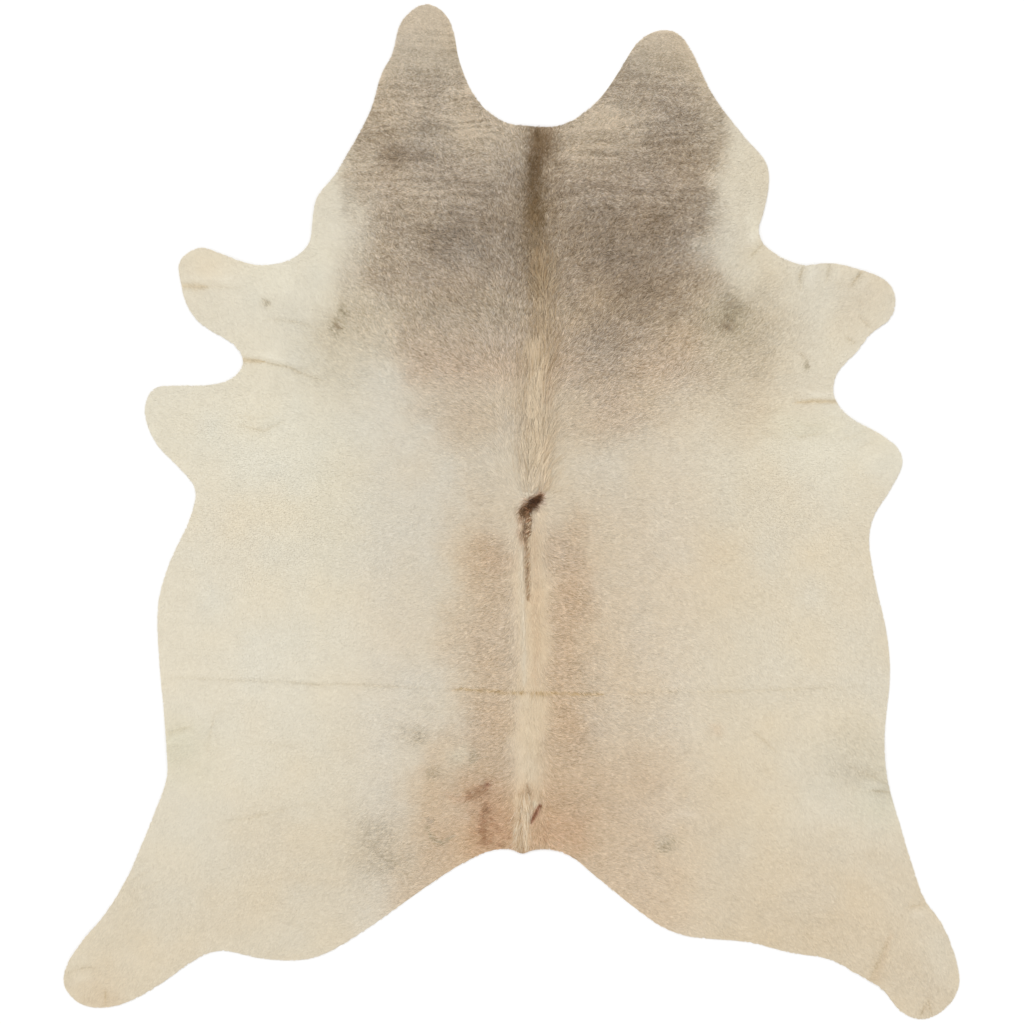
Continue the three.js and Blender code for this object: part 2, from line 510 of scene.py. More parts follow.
NECK_PATCHES = (
    Patch("left flap, inner edge", Tone.OAT, (-92, 880), (28, 62), 0.5),
    Patch("left flap, outer edge", Tone.OAT, (-262, 930), (50, 80), 0.5),
    Patch("right flap, inner edge", Tone.OAT, (186, 838), (30, 30), 0.5),
    Patch("right flap, low", Tone.TAUPE, (215, 905), (60, 56), 0.85),
    Patch("right flap, outer edge", Tone.OAT, (402, 920), (34, 70), 0.5),
    Patch("left flap, inner tip", Tone.DRAB, (-112, 985), (40, 50), 0.4),
    Patch("right flap, dark", Tone.MOLE, (330, 850), (60, 36), 0.5),
    Patch("left neck, outer edge", Tone.TAUPE, (-300, 800), (40, 40), 0.5),
    Patch("left crest, upper", Tone.OAT, (-62, 798), (78, 46), 0.66),
    Patch("left crest, middle", Tone.OAT, (-80, 745), (50, 26), 0.2),
    Patch("right crest, upper", Tone.OAT, (160, 812), (100, 42), 0.7),
    Patch("right crest, middle", Tone.OAT, (158, 745), (34, 26), 0.3),
    Patch("right neck, dark", Tone.SLATE, (342, 790), (46, 38), 0.62),
    Patch("right neck, outer edge", Tone.OAT, (425, 800), (28, 50), 0.15),
    Patch("right neck, dark, low", Tone.SLATE, (350, 728), (40, 34), 0.35),
    Patch("left neck, dark", Tone.SLATE, (-232, 750), (48, 22), 0.5),
    Patch("left neck, light", Tone.OAT, (-212, 697), (62, 20), 0.35),
    Patch("left throat, light", Tone.OAT, (-198, 650), (66, 32), 0.4),
    Patch("left crest, low light", Tone.DRAB, (-48, 702), (30, 22), 0.3),
    Patch("left throat", Tone.SLATE, (-60, 606), (70, 34), 0.34),
    Patch("left shoulder, light", Tone.OAT, (-238, 560), (44, 62), 0.38),
    Patch("left shoulder, low light", Tone.OAT, (-240, 460), (52, 50), 0.1),
    Patch("right of the crest, browner", Tone.HONEY, (210, 430), (150, 140), 0.32),
    Patch("left withers", Tone.TAUPE, (-296, 400), (60, 46), 0.25),
    Patch("crest side, light", Tone.DRAB, (-42, 452), (26, 26), 0.4),
    Patch("right throat, inner", Tone.SLATE, (196, 604), (44, 40), 0.72),
    Patch("right throat, outer", Tone.SLATE, (308, 600), (38, 26), 0.8),
    Patch("right throat, low", Tone.SLATE, (228, 545), (54, 28), 0.85),
    Patch("right shoulder, dark", Tone.SLATE, (250, 498), (84, 34), 0.7),
    Patch("right shoulder, low dark", Tone.SLATE, (288, 448), (50, 30), 0.72),
    Patch("right shoulder, light", Tone.OAT, (402, 505), (26, 40), 0.12),
    Patch("right withers, dark", Tone.SLATE, (216, 402), (54, 40), 0.45),
    Patch("right withers, middle", Tone.MOLE, (196, 346), (54, 40), 0.55),
    Patch("right withers, low", Tone.TAUPE, (216, 298), (52, 36), 0.5),
    Patch("right withers, lowest", Tone.HAZEL, (212, 240), (44, 44), 0.6),
    Patch("right fade", Tone.HAZEL, (200, 190), (34, 34), 0.4),
    Patch("left fade", Tone.HAZEL, (-100, 210), (40, 60), 0.2),
)

SHOULDER_PATCHES = (
    Patch("right cheek", Tone.LINEN, (515, 660), (60, 120), 0.75),
    Patch("right cheek, low", Tone.LINEN, (500, 540), (50, 50), 0.6),
    Patch("right neck bay", Tone.LINEN, (500, 490), (50, 40), 0.4),
    Patch("left shoulder, grey", Tone.ASH, (-346, 350), (92, 100), 0.7),
    Patch("left shoulder, greyer", Tone.DRAB, (-352, 404), (42, 46), 0.5),
    Patch("right shoulder, oat", Tone.OAT, (490, 280), (92, 78), 0.95),
    Patch("right shoulder, drab, low", Tone.DRAB, (488, 310), (64, 52), 0.55),
    Patch("right chest", Tone.FLAX, (505, 180), (80, 74), 0.6),
    Patch("right chest spot", Tone.SMOKE, (620, 307), (5, 7), 0.75),
    Patch("right chest smudge", Tone.DRAB, (536, 164), (6, 8), 0.6),
    Patch("right chest second smudge", Tone.DRAB, (552, 208), (11, 4), 0.45),
    Patch("right shoulder, drab", Tone.DRAB, (484, 396), (84, 64), 0.82),
    Patch("left fore shank", Tone.IVORY, (-650, 505), (50, 36), 0.5),
    Patch("right fore shank", Tone.OYSTER, (690, 470), (110, 60), 0.6),
    Patch("right fore shank, tip", Tone.BUFF, (752, 446), (60, 60), 0.6),
    Patch("right armpit", Tone.LINEN, (640, 262), (50, 25), 0.5),
    Patch("left elbow", Tone.CHALK, (-640, 210), (120, 60), 0.6),
    Patch("right cheek, pale fold", Tone.PALE, (508, 590), (14, 60), 0.45),
    Patch("left cheek, pale fold", Tone.PALE, (-400, 520), (22, 60), 0.4),
    Patch("left chest", Tone.CHALK, (-500, 250), (80, 190), 0.65),
    Patch("left cheek", Tone.PALE, (-500, 500), (60, 50), 0.6),
    Patch("left barrel, light", Tone.CREAM, (-210, 50), (70, 100), 0.75),
    Patch("left barrel, ivory", Tone.IVORY, (-196, 96), (50, 56), 0.4),
    Patch("back, ivory", Tone.IVORY, (54, 106), (76, 40), 0.35),
    Patch("left chest, low", Tone.PALE, (-500, 150), (60, 90), 0.3),
    Patch("right elbow", Tone.CHALK, (650, 120), (130, 54), 0.85),
    Patch("right elbow, cool", Tone.SAGE, (610, 178), (60, 22), 0.35),
)

FLANK_PATCHES = (
    Patch("left flank, warm", Tone.IVORY, (-580, -60), (80, 90), 0.45),
    Patch("left belly, cool", Tone.SAGE, (-350, -20), (110, 130), 0.2),
    Patch("left flank pull", Tone.SAGE, (-722, -505), (74, 50), 0.8),
    Patch("left thigh", Tone.BUFF, (-470, -700), (90, 50), 0.3),
    Patch("left thigh, pale", Tone.CREAM, (-700, -700), (80, 70), 0.6),
    Patch("left thigh, middle", Tone.BUFF, (-500, -820), (110, 40), 0.35),
    Patch("left hock", Tone.BUFF, (-610, -880), (60, 34), 0.35),
    Patch("left hind toe", Tone.FLAX, (-870, -1005), (60, 44), 0.6),
    Patch("left hind toe, brown", Tone.TAN, (-852, -1034), (34, 22), 0.4),
    Patch("left hind toe, pale", Tone.CREAM, (-905, -940), (30, 36), 0.4),
    Patch("right flank, warm", Tone.IVORY, (640, -110), (40, 80), 0.35),
    Patch("right elbow fade", Tone.LINEN, (520, 20), (70, 70), 0.5),
    Patch("right flank pull", Tone.ASH, (750, -516), (84, 56), 0.65),
    Patch("right flank pull, dark", Tone.DRAB, (745, -556), (46, 20), 0.35, -22),
    Patch("right thigh, cool", Tone.SAGE, (780, -600), (46, 46), 0.5),
    Patch("right thigh, grey", Tone.ASH, (796, -586), (24, 30), 0.4),
    Patch("right buttock", Tone.OAT, (620, -890), (170, 60), 0.8),
    Patch("right hock", Tone.OAT, (800, -985), (70, 50), 0.9),
    # Painted shade in the right hock's fold.
    Stripe("right hock, painted shade in the fold", Tone.TAN, ((764, -984), (782, -940), (796, -890)), (9, 7, 4), 0.5),
    Patch("right loin, low", Tone.OAT, (400, -650), (76, 90), 0.5),
    Patch("left hock, inner", Tone.BUFF, (-420, -774), (60, 12), 0.5),
    Patch("left hock, cloud", Tone.BUFF, (-700, -930), (60, 26), 0.35),
    Patch("right hind toe", Tone.OAT, (880, -1020), (60, 50), 0.9),
    Patch("right hind toe, pale", Tone.LINEN, (905, -930), (30, 46), 0.35),
)

BACK_PATCHES = (
    Patch("back, left spot", Tone.ROSE, (-20, -98), (46, 38), 0.38),
    Patch("back, left third spot", Tone.ROSE, (-46, -450), (30, 40), 0.25),
    Patch("back, right spot", Tone.ROSE, (116, -180), (38, 60), 0.35),
    Patch("back, right second spot", Tone.ROSE, (112, -300), (30, 50), 0.2),
    Patch("back, right third spot", Tone.ROSE, (108, -440), (34, 50), 0.3),
    Patch("whorl side, left", Tone.BUFF, (-60, 10), (46, 50), 0.5),
    Patch("whorl side, ivory", Tone.IVORY, (-8, 14), (32, 44), 0.45),
    Patch("loin, right", Tone.OAT, (300, -458), (40, 60), 0.5),
    Patch("loin, right, low", Tone.TAN, (230, -570), (60, 60), 0.3),
    Patch("loin, left, pale", Tone.LINEN, (-128, -530), (22, 38), 0.5),
    Patch("rump, pale", Tone.LINEN, (-270, -600), (40, 40), 0.4),
    Patch("rump, rose", Tone.ROSE, (-48, -660), (70, 66), 0.8),
    Patch("rump, clay", Tone.CLAY, (-46, -648), (38, 62), 0.75),
    Patch("rump, rust", Tone.RUST, (-62, -590), (28, 18), 0.36, 20, ragged=0.4),
    Patch("rump, rust, low", Tone.RUST, (-56, -664), (16, 18), 0.4, ragged=0.8),
    Patch("rump, rust, by the tail", Tone.RUST, (-22, -680), (34, 38), 0.45, ragged=0.4),
    Patch("rump, right of the tail", Tone.ROSE, (92, -665), (74, 68), 0.85),
    Patch("rump, right, clay", Tone.CLAY, (72, -662), (42, 46), 0.6, ragged=0.4),
    Patch("rump, by the arc", Tone.ROSE, (-150, -690), (44, 24), 0.35),
)

STAINS = (
    Patch("left loin stain", Tone.SMOKE, (-193, -472), (16, 12), 0.5, -20, ragged=0.3),
    Patch("left loin, around the stain", Tone.DRAB, (-206, -464), (30, 20), 0.35),
    Patch("left loin second stain", Tone.SMOKE, (-163, -551), (13, 15), 0.5, -25, ragged=0.3),
    Patch("left loin third stain", Tone.SMOKE, (-81, -521), (8, 14), 0.45, -20, ragged=0.4),
    Patch("left loin, green", Tone.SAGE, (-110, -512), (18, 15), 0.4),
    Patch("rump spot", Tone.UMBER, (-52, -628), (3.5, 4.5), 0.4),
    Patch("rump corner", Tone.SCAR, (-49, -573), (6, 6), 0.45, ragged=0.8),
    Patch("left thigh stain", Tone.SMOKE, (-284, -692), (30, 24), 0.32, 30, ragged=0.3),
    Patch("left thigh, second stain", Tone.SMOKE, (-258, -742), (30, 24), 0.32, 30, ragged=0.3),
    Patch("left thigh, around the stains", Tone.DRAB, (-272, -716), (60, 64), 0.45),
    Patch("left shoulder stain", Tone.SMOKE, (-366, 390), (13, 15), 0.7, ragged=0.5),
    Patch("left shoulder stain, core", Tone.SLATE, (-365, 388), (5, 7), 0.6),
    Patch("left shoulder second stain", Tone.SMOKE, (-355, 424), (9, 14), 0.6, ragged=0.5),
    Patch("left fore shank stain", Tone.SMOKE, (-516, 437), (8, 9), 0.55, ragged=0.4),
    Patch("right shoulder stain", Tone.SMOKE, (462, 404), (34, 30), 0.75, ragged=0.2),
    Patch("right shoulder stain, core", Tone.SLATE, (452, 388), (11, 13), 0.6, ragged=0.3),
    Patch("right shoulder stain, top", Tone.SLATE, (458, 432), (12, 8), 0.4, ragged=0.3),
    Patch("right rump stain", Tone.SMOKE, (330, -700), (18, 14), 0.6, ragged=0.2),
    Patch("right loin stain", Tone.ROSE, (430, -460), (14, 12), 0.25),
)

SPINE_STRIPES = (
    Stripe("crest halo", Tone.OLIVE, ((64, 815), (60, 640), (50, 480)), (29, 35, 24), 0.4),
    Stripe("crest, reddish top", Tone.SEPIA, ((65, 820), (58, 740)), (22, 21, 14), 0.45, ragged=0.3),
    Stripe("crest, darkest", Tone.LOAM, ((56, 790), (49, 710), (46, 600)), (10, 14, 10), 0.66, 2.0, 0.3),
    Stripe("crest, low", Tone.OLIVE, ((47, 640), (52, 560), (54, 450)), (13, 17, 12), 0.75, ragged=0.3),
    Stripe("withers crest", Tone.HONEY, ((64, 550), (68, 430), (57, 300)), (10, 24, 22), 0.4),
    Stripe("back crest", Tone.SAND, ((53, 340), (50, 200), (48, 90)), (18, 28, 22), 0.7),
    Stripe("back crest, pink", Tone.ROSE, ((74, 300), (74, 225)), (9, 11, 9), 0.35),
    Stripe("back crest, pale", Tone.BLUSH, ((68, 140), (70, 55)), (8, 9, 7), 0.7),
    Stripe("whorl, pale right side", Tone.BLUSH, ((60, 0), (54, -60)), (12, 12, 8), 0.45),
    Stripe("loin, pale strip", Tone.WHEAT, ((40, -60), (42, -350), (38, -610)), (26, 30, 26), 0.85, 3),
    Stripe("loin, pink", Tone.ROSE, ((50, -40), (51, -200), (50, -360)), (6, 8, 6), 0.25),
    Stripe("loin, low pale", Tone.IVORY, ((38, -400), (44, -470), (46, -560)), (22, 28, 18), 0.5),
    Stripe("loin, pale ridge", Tone.IVORY, ((20, -40), (23, -140), (26, -360)), (5, 6, 5), 0.85),
    Stripe("right armpit, warm line", Tone.OCHRE, ((684, 231), (640, 232), (596, 229)), (4, 4, 2), 0.35),
    Stripe("left armpit, warm line", Tone.OCHRE, ((-566, 319), (-520, 314)), (6, 4, 2), 0.3),
    Stripe("left fore shank, warm line", Tone.OCHRE, ((-690, 474), (-640, 470)), (5, 6, 3), 0.25),
    Stripe("tail, darker", Tone.ROSE, ((34, -590), (22, -705)), (14, 22, 18), 0.75),
    Stripe("whorl, fringe", Tone.RUST, ((32, 22), (22, 2), (23, -60)), (6, 7, 6), 0.5, ragged=0.2),
    Stripe("whorl, rim", Tone.RUST, ((62, 36), (46, 27), (27, 11)), (4, 5, 4), 0.45, ragged=0.3),
    Stripe("whorl, red", Tone.SCAR, ((60, 32), (52, 20)), (6, 9, 8), 0.75, ragged=0.2),
    Stripe("whorl", Tone.UMBER, ((53, 27), (42, 15), (31, 2)), (8, 11, 11), 0.95, 2.8, ragged=0.15),
    Stripe("whorl, core", Tone.JET, ((50, 22), (38, 9)), (8, 10, 8), 0.7, ragged=0.2),
    Stripe("whorl tail", Tone.PEAT, ((31, 0), (31, -22), (31, -50)), (11, 10, 6), 0.6, ragged=0.2),
    Stripe("whorl line", Tone.SEPIA, ((31, -45), (33, -100), (35, -185)), (6, 5, 2.5), 0.6, ragged=0.2),
    Stripe("storage fold", Tone.OCHRE, ((-120, -373), (0, -380), (80, -381), (190, -384)),
           (2.5, 4, 2.5), 0.6, ragged=0.5),
    Stripe("rump, rust smear", Tone.RUST, ((-136, -592), (-118, -604), (-84, -600)), (4, 6, 9), 0.22,
           ragged=0.4),
    Stripe("rump, streaks", Tone.RUST, ((-50, -612), (-56, -650), (-50, -692)), (5, 8, 5), 0.3, ragged=0.7),
    Stripe("tail, arc", Tone.SMOKE, ((-178, -664), (-170, -682), (-158, -693), (-144, -697), (-122, -681)),
           (4, 5, 3), 0.6, ragged=0.4),
    Patch("tail, arc spot", Tone.DUN, (-172, -651), (8, 6), 0.65, ragged=0.6),
    Patch("tail, in the loop", Tone.SAGE, (49, -613), (7, 9), 0.55),
    Stripe("tail, loop", Tone.SEPIA, ((33, -576), (37, -592)), (3, 5, 3), 0.6, ragged=0.3),
    Stripe("tail, loop, thin", Tone.MOLE, ((36, -592), (35, -620), (42, -646)), (2.5, 3, 2.5), 0.55,
           ragged=0.2),
    Stripe("tail, scar", Tone.SCAR, ((61, -616), (51, -634), (41, -651)), (3, 5.5, 3.5), 1.0),
    Stripe("tail parting", Tone.SEPIA, ((20, -620), (20, -670), (20, -723)), (1.5, 2.5, 5), 0.75, ragged=0.2),
    Stripe("tail, left of the parting", Tone.WHEAT, ((12, -600), (8, -700)), (5, 6, 5), 0.6),
    Stripe("tail, right of the parting", Tone.WHEAT, ((33, -610), (32, -700)), (5, 6, 5), 0.6),
)


@dataclass(frozen=True)
class Crease:
    """A soft trough or ridge in the lying skin.

    Attributes:
        name: Where it is on the hide.
        path: Its points from one end to the other (mm).
        half: Its half width (mm).
        height: How high the ridge stands, or below zero how deep the trough is (mm).
        shade: How far painted shade darkens the coat in its fold, or below zero how far painted light
            lightens it on its ridge.
        line: Half width of that fold's line (mm).
        reaches: How many half widths it is worked out for.
        sway: How far it strays from its path (mm).
        fading: How it dies out to its ends; a lower value keeps its strength for longer.
    """

    name: str
    path: tuple
    half: float
    height: float
    shade: float = 0.0
    line: float = 2.6
    reaches: float = 4.0
    sway: float = 2.5
    fading: float = 0.7

    def around(self, across: Array, along: Array) -> tuple[Array, Array, Array]:
        """The places by the crease.

        Args:
            across: Places across (mm).
            along: Places along (mm).

        Returns:
            Which places are near, and for those the distance (mm) and the crease's strength, which is
            full in the middle of its line and dies out to both ends.
        """
        marks = np.array(self.path, float)
        low, high = marks.min(0) - self.reaches * self.half, marks.max(0) + self.reaches * self.half
        near = np.flatnonzero((across > low[0]) & (across < high[0]) & (along > low[1]) & (along < high[1]))
        x, y = across[near], along[near]
        x, y = x + self.sway * CREASE_SWAY[0].at(x, y), y + self.sway * CREASE_SWAY[1].at(x, y)
        away, share = near_path(x, y, self.path)
        return near, away, np.clip(np.sin(np.pi * share), 0, 1) ** self.fading


@dataclass(frozen=True)
class Ridge(Crease):
    """A crease that stands up as a low soft ridge and catches the light, with painted light along it in the
    coat's colour.
    """

    half: float = 9.0
    height: float = 1.4
    # Painted light along the ridge.
    shade: float = -0.025
    line: float = 8.0


# A crease's shade is painted shade along its fold, and a ridge's negative shade is painted light along it.
CREASES = (
    Crease("storage fold, left", ((-740, -350), (-560, -354), (-400, -362), (-120, -372)), 5, 0.5, 0.045),
    Crease("storage fold, middle", ((-160, -371), (0, -380), (160, -384)), 5, 0.9, 0.03),
    Crease("storage fold, right", ((120, -385), (400, -378), (780, -368)), 5, 0.5, 0.035),
    Crease("left armpit", ((-572, 319), (-520, 314), (-467, 303), (-411, 278), (-376, 268)),
           7, -1.0, 0.085, 2.0),
    Ridge("left armpit, upper side", ((-560, 332), (-500, 324), (-440, 306)), height=1.2),
    Crease("left shoulder", ((-520, 405), (-470, 400), (-425, 390), (-382, 370)), 6, -0.6, 0.05, 2.2),
    Crease("left fore shank", ((-700, 474), (-640, 470), (-560, 470)), 6, -0.6, 0.03, 2.6),
    Ridge("left fore shank, ridge", ((-690, 490), (-600, 486), (-540, 490)), 12),
    Crease("left fore shank, low", ((-640, 452), (-560, 446), (-500, 452)), 10, 0.9),
    Crease("right fore shank, first", ((616, 524), (605, 488), (606, 460)), 6, -1.0, 0.09, 2.2),
    Ridge("right fore shank, first ridge", ((636, 520), (628, 486), (632, 462)), height=1.9),
    Crease("right fore shank, second", ((668, 524), (658, 478)), 6, -0.8, 0.072, 2.2),
    Ridge("right fore shank, second ridge", ((688, 522), (680, 480)), height=1.5),
    Crease("right fore shank, third", ((742, 514), (709, 468)), 6, -1.0, 0.122, 2.0),
    Ridge("right fore shank, third ridge", ((758, 500), (728, 462)), height=1.5),
    Crease("right fore shank, low", ((757, 380), (726, 413)), 6, -0.8, 0.072, 2.0),
    Crease("right fore shank, notch", ((724, 352), (698, 366)), 5, -0.7, 0.065, 2.2),
    Crease("right cheek", ((534, 572), (500, 528)), 6, -1.0, 0.101, 2.4),
    Ridge("right cheek, ridge", ((520, 592), (482, 545))),
    Crease("right armpit", ((690, 230), (640, 231), (590, 228)), 6, -0.9, 0.035, 2.2),
    Ridge("right armpit, upper side", ((686, 246), (600, 246)), height=1.2),
    Crease("right chest arc", ((596, 333), (610, 326), (622, 311)), 4, -0.4, 0.05, 2.0),
    Crease("right elbow, line", ((752, 172), (686, 148)), 6, -0.5, 0.036, 2.0),
    Crease("right elbow, low line", ((770, 150), (720, 128)), 6, -0.5, 0.03, 2.0),
    Crease("left elbow arc", ((-574, 184), (-520, 168), (-468, 194)), 7, -0.9, 0.055, 2.6),
    Crease("left elbow arc, inside", ((-590, 205), (-530, 196), (-480, 208)), 8, 1.0, 0.02, 2.6),
    Crease("right elbow arc", ((576, 184), (602, 156), (660, 165)), 7, -0.9, 0.05, 2.4),
    Crease("right elbow arc, inside", ((596, 190), (626, 178), (660, 186)), 8, 1.0, 0.02, 2.6),
    Crease("left flank arc", ((-597, -413), (-625, -425), (-633, -453), (-639, -511)), 6, -0.9, 0.035, 2.4),
    Crease("left flank, edge pull", ((-736, -472), (-668, -450)), 6, -0.9, 0.045, 2.4),
    Ridge("left flank, edge ridge", ((-735, -490), (-670, -470)), height=1.3),
    Crease("left flank, faint", ((-581, -490), (-434, -490)), 8, -0.4, 0.02),
    Crease("left thigh drag", ((-600, -652), (-497, -631), (-396, -606)), 9, -0.6, 0.032, 2.1),
    Crease("right flank, upper pull", ((700, -528), (750, -556), (796, -576)), 6, -0.9, 0.05, 2.6),
    Crease("right flank, lower pull", ((745, -586), (800, -592)), 5, -0.9, 0.072, 2.2),
    Ridge("right flank, ridge", ((710, -560), (795, -583)), 8, 1.3),
    Crease("left hind shank", ((-944, -976), (-900, -957), (-866, -956)), 6, -0.9, 0.045, 2.4),
    Ridge("left hind shank, ridge", ((-940, -992), (-875, -974))),
    Crease("left thigh fan, upper", ((-805, -776), (-740, -742)), 6, -0.5, 0.03, 2.2),
    Crease("left thigh fan, middle", ((-808, -800), (-730, -774)), 6, -0.5, 0.03, 2.2),
    Crease("left thigh fan, low", ((-825, -836), (-755, -803)), 6, -0.5, 0.025, 2.2),
    Crease("left hind toe", ((-854, -1046), (-852, -1000)), 5, -0.8, 0.086, 2.2),
    Crease("right hock", ((880, -822), (826, -834)), 6, -0.9, 0.072, 2.0),
    Ridge("right hock, ridge", ((882, -840), (830, -852))),
    Crease("right hind shank", ((752, -992), (778, -927), (789, -892)), 8, -1.2, 0.07, 4),
    Crease("right hind shank, ridge", ((780, -990), (804, -930), (812, -892)), 10, 1.6),
    Crease("right hind toe", ((874, -1020), (884, -1060)), 4, -0.7, 0.101, 2.0),
    Crease("right hind toe, second", ((858, -1062), (872, -1030)), 4, -0.7, 0.086, 2.0),
    Ridge("right thigh, low light", ((270, -640), (380, -634), (480, -640)), height=1.0),
    Crease("right loin scratch", ((499, -453), (564, -513)), 2.5, -0.3, 0.06, 2.0),
)
# Least shade of a crease in which the hair lies flatter, and half its width there (mm)
CRISP_SHADE = 0.04
CRISP_HALF = 8.0


@dataclass
class Markings:
    """The colours of the coat over the whole hide.

    Attributes:
        layers: Areas of other tones in the order in which they are laid over each other.
        wander: How far an area's edge wanders, as a share of its smaller reach.
        most_wander: The furthest it wanders (mm).
        fray: The furthest a small area's edge frays on top of that (mm).
        patchy: How much a ragged area's tone comes and goes, and what it loses by that.
        mottle: How much the tone drifts, in the palest and in the darkest coat.
        reds: Red share of the pale coat, and how much less the darkest coat has.
        warmth: How much the coat drifts to and fro between warm and cool.
        warm_way: What that does to red, green and blue.
        furrows: How strongly painted shade darkens the furrows of the neck's wrinkles and painted light
            lightens their crests.
        uneven: The usual strength of a fold's shade, and how much it changes.
        core: Share of the shade that is in the fold's own line; the rest is a soft halo.
        halo: How many times wider the halo is.
        shade_way: What shade takes from red, green and blue.
    """

    layers: tuple = (
        *BROAD_AREAS,
        *NECK_PATCHES,
        *SHOULDER_PATCHES,
        *FLANK_PATCHES,
        *BACK_PATCHES,
        *STAINS,
        *SPINE_STRIPES,
    )
    wander: float = 0.4
    most_wander: float = 26.0
    fray: float = 4.0
    patchy: Pair = (1.4, 0.3)
    mottle: Pair = (0.006, 0.03)
    reds: Pair = (0.86, 0.26)
    warmth: float = 0.006
    warm_way: Triple = (1.0, 0.0, -1.4)
    furrows: float = 0.056
    uneven: Pair = (0.9, 0.4)
    core: float = 0.75
    halo: float = 4.0
    shade_way: Triple = (0.85, 1.0, 1.25)

    def colour(self, across: Array, along: Array) -> Array:
        """The coat's colour at places.

        Args:
            across: Places across (mm).
            along: Places along (mm).

        Returns:
            An sRGB share for red, green and blue in each row.
        """
        colours = between(along, [mark for mark, _ in SIDE_TONES], [tone.srgb for _, tone in SIDE_TONES])
        sway = [drift.at(across, along) for drift in (*EDGE_SWAY, *EDGE_FRAY, PATCHINESS)]
        for layer in self.layers:
            self.lay(layer, colours, across, along, sway)
        return self.with_drift_and_painted_shading(colours, across, along)

    def lay(self, layer: Patch | Stripe | Saddle, colours: Array, across: Array,
            along: Array, sway: list[Array]) -> None:
        """Lays one area of another tone over the colours, in place.

        Args:
            layer: What is laid.
            colours: The colours so far.
            across: Places across (mm).
            along: Places along (mm).
            sway: How the edges wander, across and along, how they fray, and how patchy the tone is.
        """
        low_x, high_x, low_y, high_y = layer.box()
        inside = (across > low_x) & (across < high_x) & (along > low_y) & (along < high_y)
        wander = min(self.wander * layer.size, self.most_wander)
        fray = min(self.wander * layer.size, self.fray)
        x = across[inside] + wander * sway[0][inside] + fray * sway[2][inside]
        y = along[inside] + wander * sway[1][inside] + fray * sway[3][inside]
        patchy = 1 + layer.ragged * (self.patchy[0] * sway[4][inside] - self.patchy[1])
        cover = np.clip(layer.cover(x, y) * patchy, 0, 1)
        colours[inside] += (layer.tint(along[inside]) - colours[inside]) * cover[:, None]

    def with_drift_and_painted_shading(self, colours: Array, across: Array, along: Array) -> Array:
        """Adds the real coat's cloudy drift, and painted shade and light on the neck's wrinkles, creases and
        ridges.

        Args:
            colours: The colours of the laid patches.
            across: Places across (mm).
            along: Places along (mm).

        Returns:
            The finished colours.
        """
        dark = ease((self.reds[0] - colours[:, 0]) / self.reds[1])
        cloud = CLOUDS.at(across, along) * np.interp(dark, (0, 1), self.mottle)
        warmth = WARMTH.at(across, along) * self.warmth
        # Painted shade in the furrows of the neck's wrinkles and painted light on their crests, over the real
        # cloudy drift.
        colours = colours + (cloud + self.furrows * NECK.wrinkles(across, along))[:, None]
        colours = colours + warmth[:, None] * np.array(self.warm_way)
        # Painted shade in each crease's fold, and painted light along each ridge.
        uneven = self.uneven[0] + self.uneven[1] * SHADE_CHANGES.at(across, along)
        for crease in CREASES:
            near, away, strength = crease.around(across, along)
            fold = self.core * bell(away / crease.line)
            fold += (1 - self.core) * bell(away / (self.halo * crease.line))
            shade = crease.shade * strength * uneven[near] * fold
            colours[near] -= shade[:, None] * np.array(self.shade_way)
        return colours


def crease_share(across: Array, along: Array) -> Array:
    """How close places lie to a crease that shows as a crisp line.

    Args:
        across: Places across (mm).
        along: Places along (mm).

    Returns:
        1 on such a crease and 0 away from all of them.
    """
    share = np.zeros_like(across)
    for crease in CREASES:
        if crease.shade < CRISP_SHADE:
            continue
        near, away, strength = crease.around(across, along)
        share[near] = np.maximum(share[near], strength * bell(away / CRISP_HALF))
    return share


@dataclass(frozen=True)
class Neck:
    """The neck and withers, where the coat is coarse and curly and the skin has fine wrinkles.

    Attributes:
        start: Where it starts, and over what length (mm).
        side: How far it reaches on both sides of the backbone, and the width of its edge (mm).
        crest: Half width of the smooth strip on the backbone, and the width of its edge (mm).
        faint: Strength of the wrinkles where they start.
        full: Where they grow to their full strength, and over what length (mm).
        top: Where they get weaker again, and over what length (mm).
        top_loss: How much weaker.
        bend: How far they wind (mm).
    """

    start: Pair = (330.0, 260.0)
    side: Pair = (430.0, 120.0)
    crest: Pair = (25.0, 60.0)
    faint: float = 0.4
    full: Pair = (560.0, 120.0)
    top: Pair = (860.0, 100.0)
    top_loss: float = 0.5
    bend: float = 7.0

    def share(self, across: Array, along: Array) -> Array:
        """1 in the neck and withers and 0 on the sides and the back, at places in mm."""
        sideways = np.abs(across - SPINE_ACROSS)
        return rising(along, self.start) * ease((self.side[0] - sideways) / self.side[1])

    def wrinkles(self, across: Array, along: Array) -> Array:
        """The fine wavy wrinkles that run across the neck.

        Args:
            across: Places across (mm).
            along: Places along (mm).

        Returns:
            How far each place lies on a crest of them or below zero in a furrow.
        """
        beside = rising(np.abs(across - SPINE_ACROSS), self.crest)
        grown = self.faint + (1 - self.faint) * rising(along, self.full)
        share = self.share(across, along) * beside * grown
        share *= 1 - self.top_loss * rising(along, self.top)
        bent = along + self.bend * WRINKLE_BENDS.at(across, along)
        return share * WRINKLE_LINES.at(across, bent)


NECK = Neck()


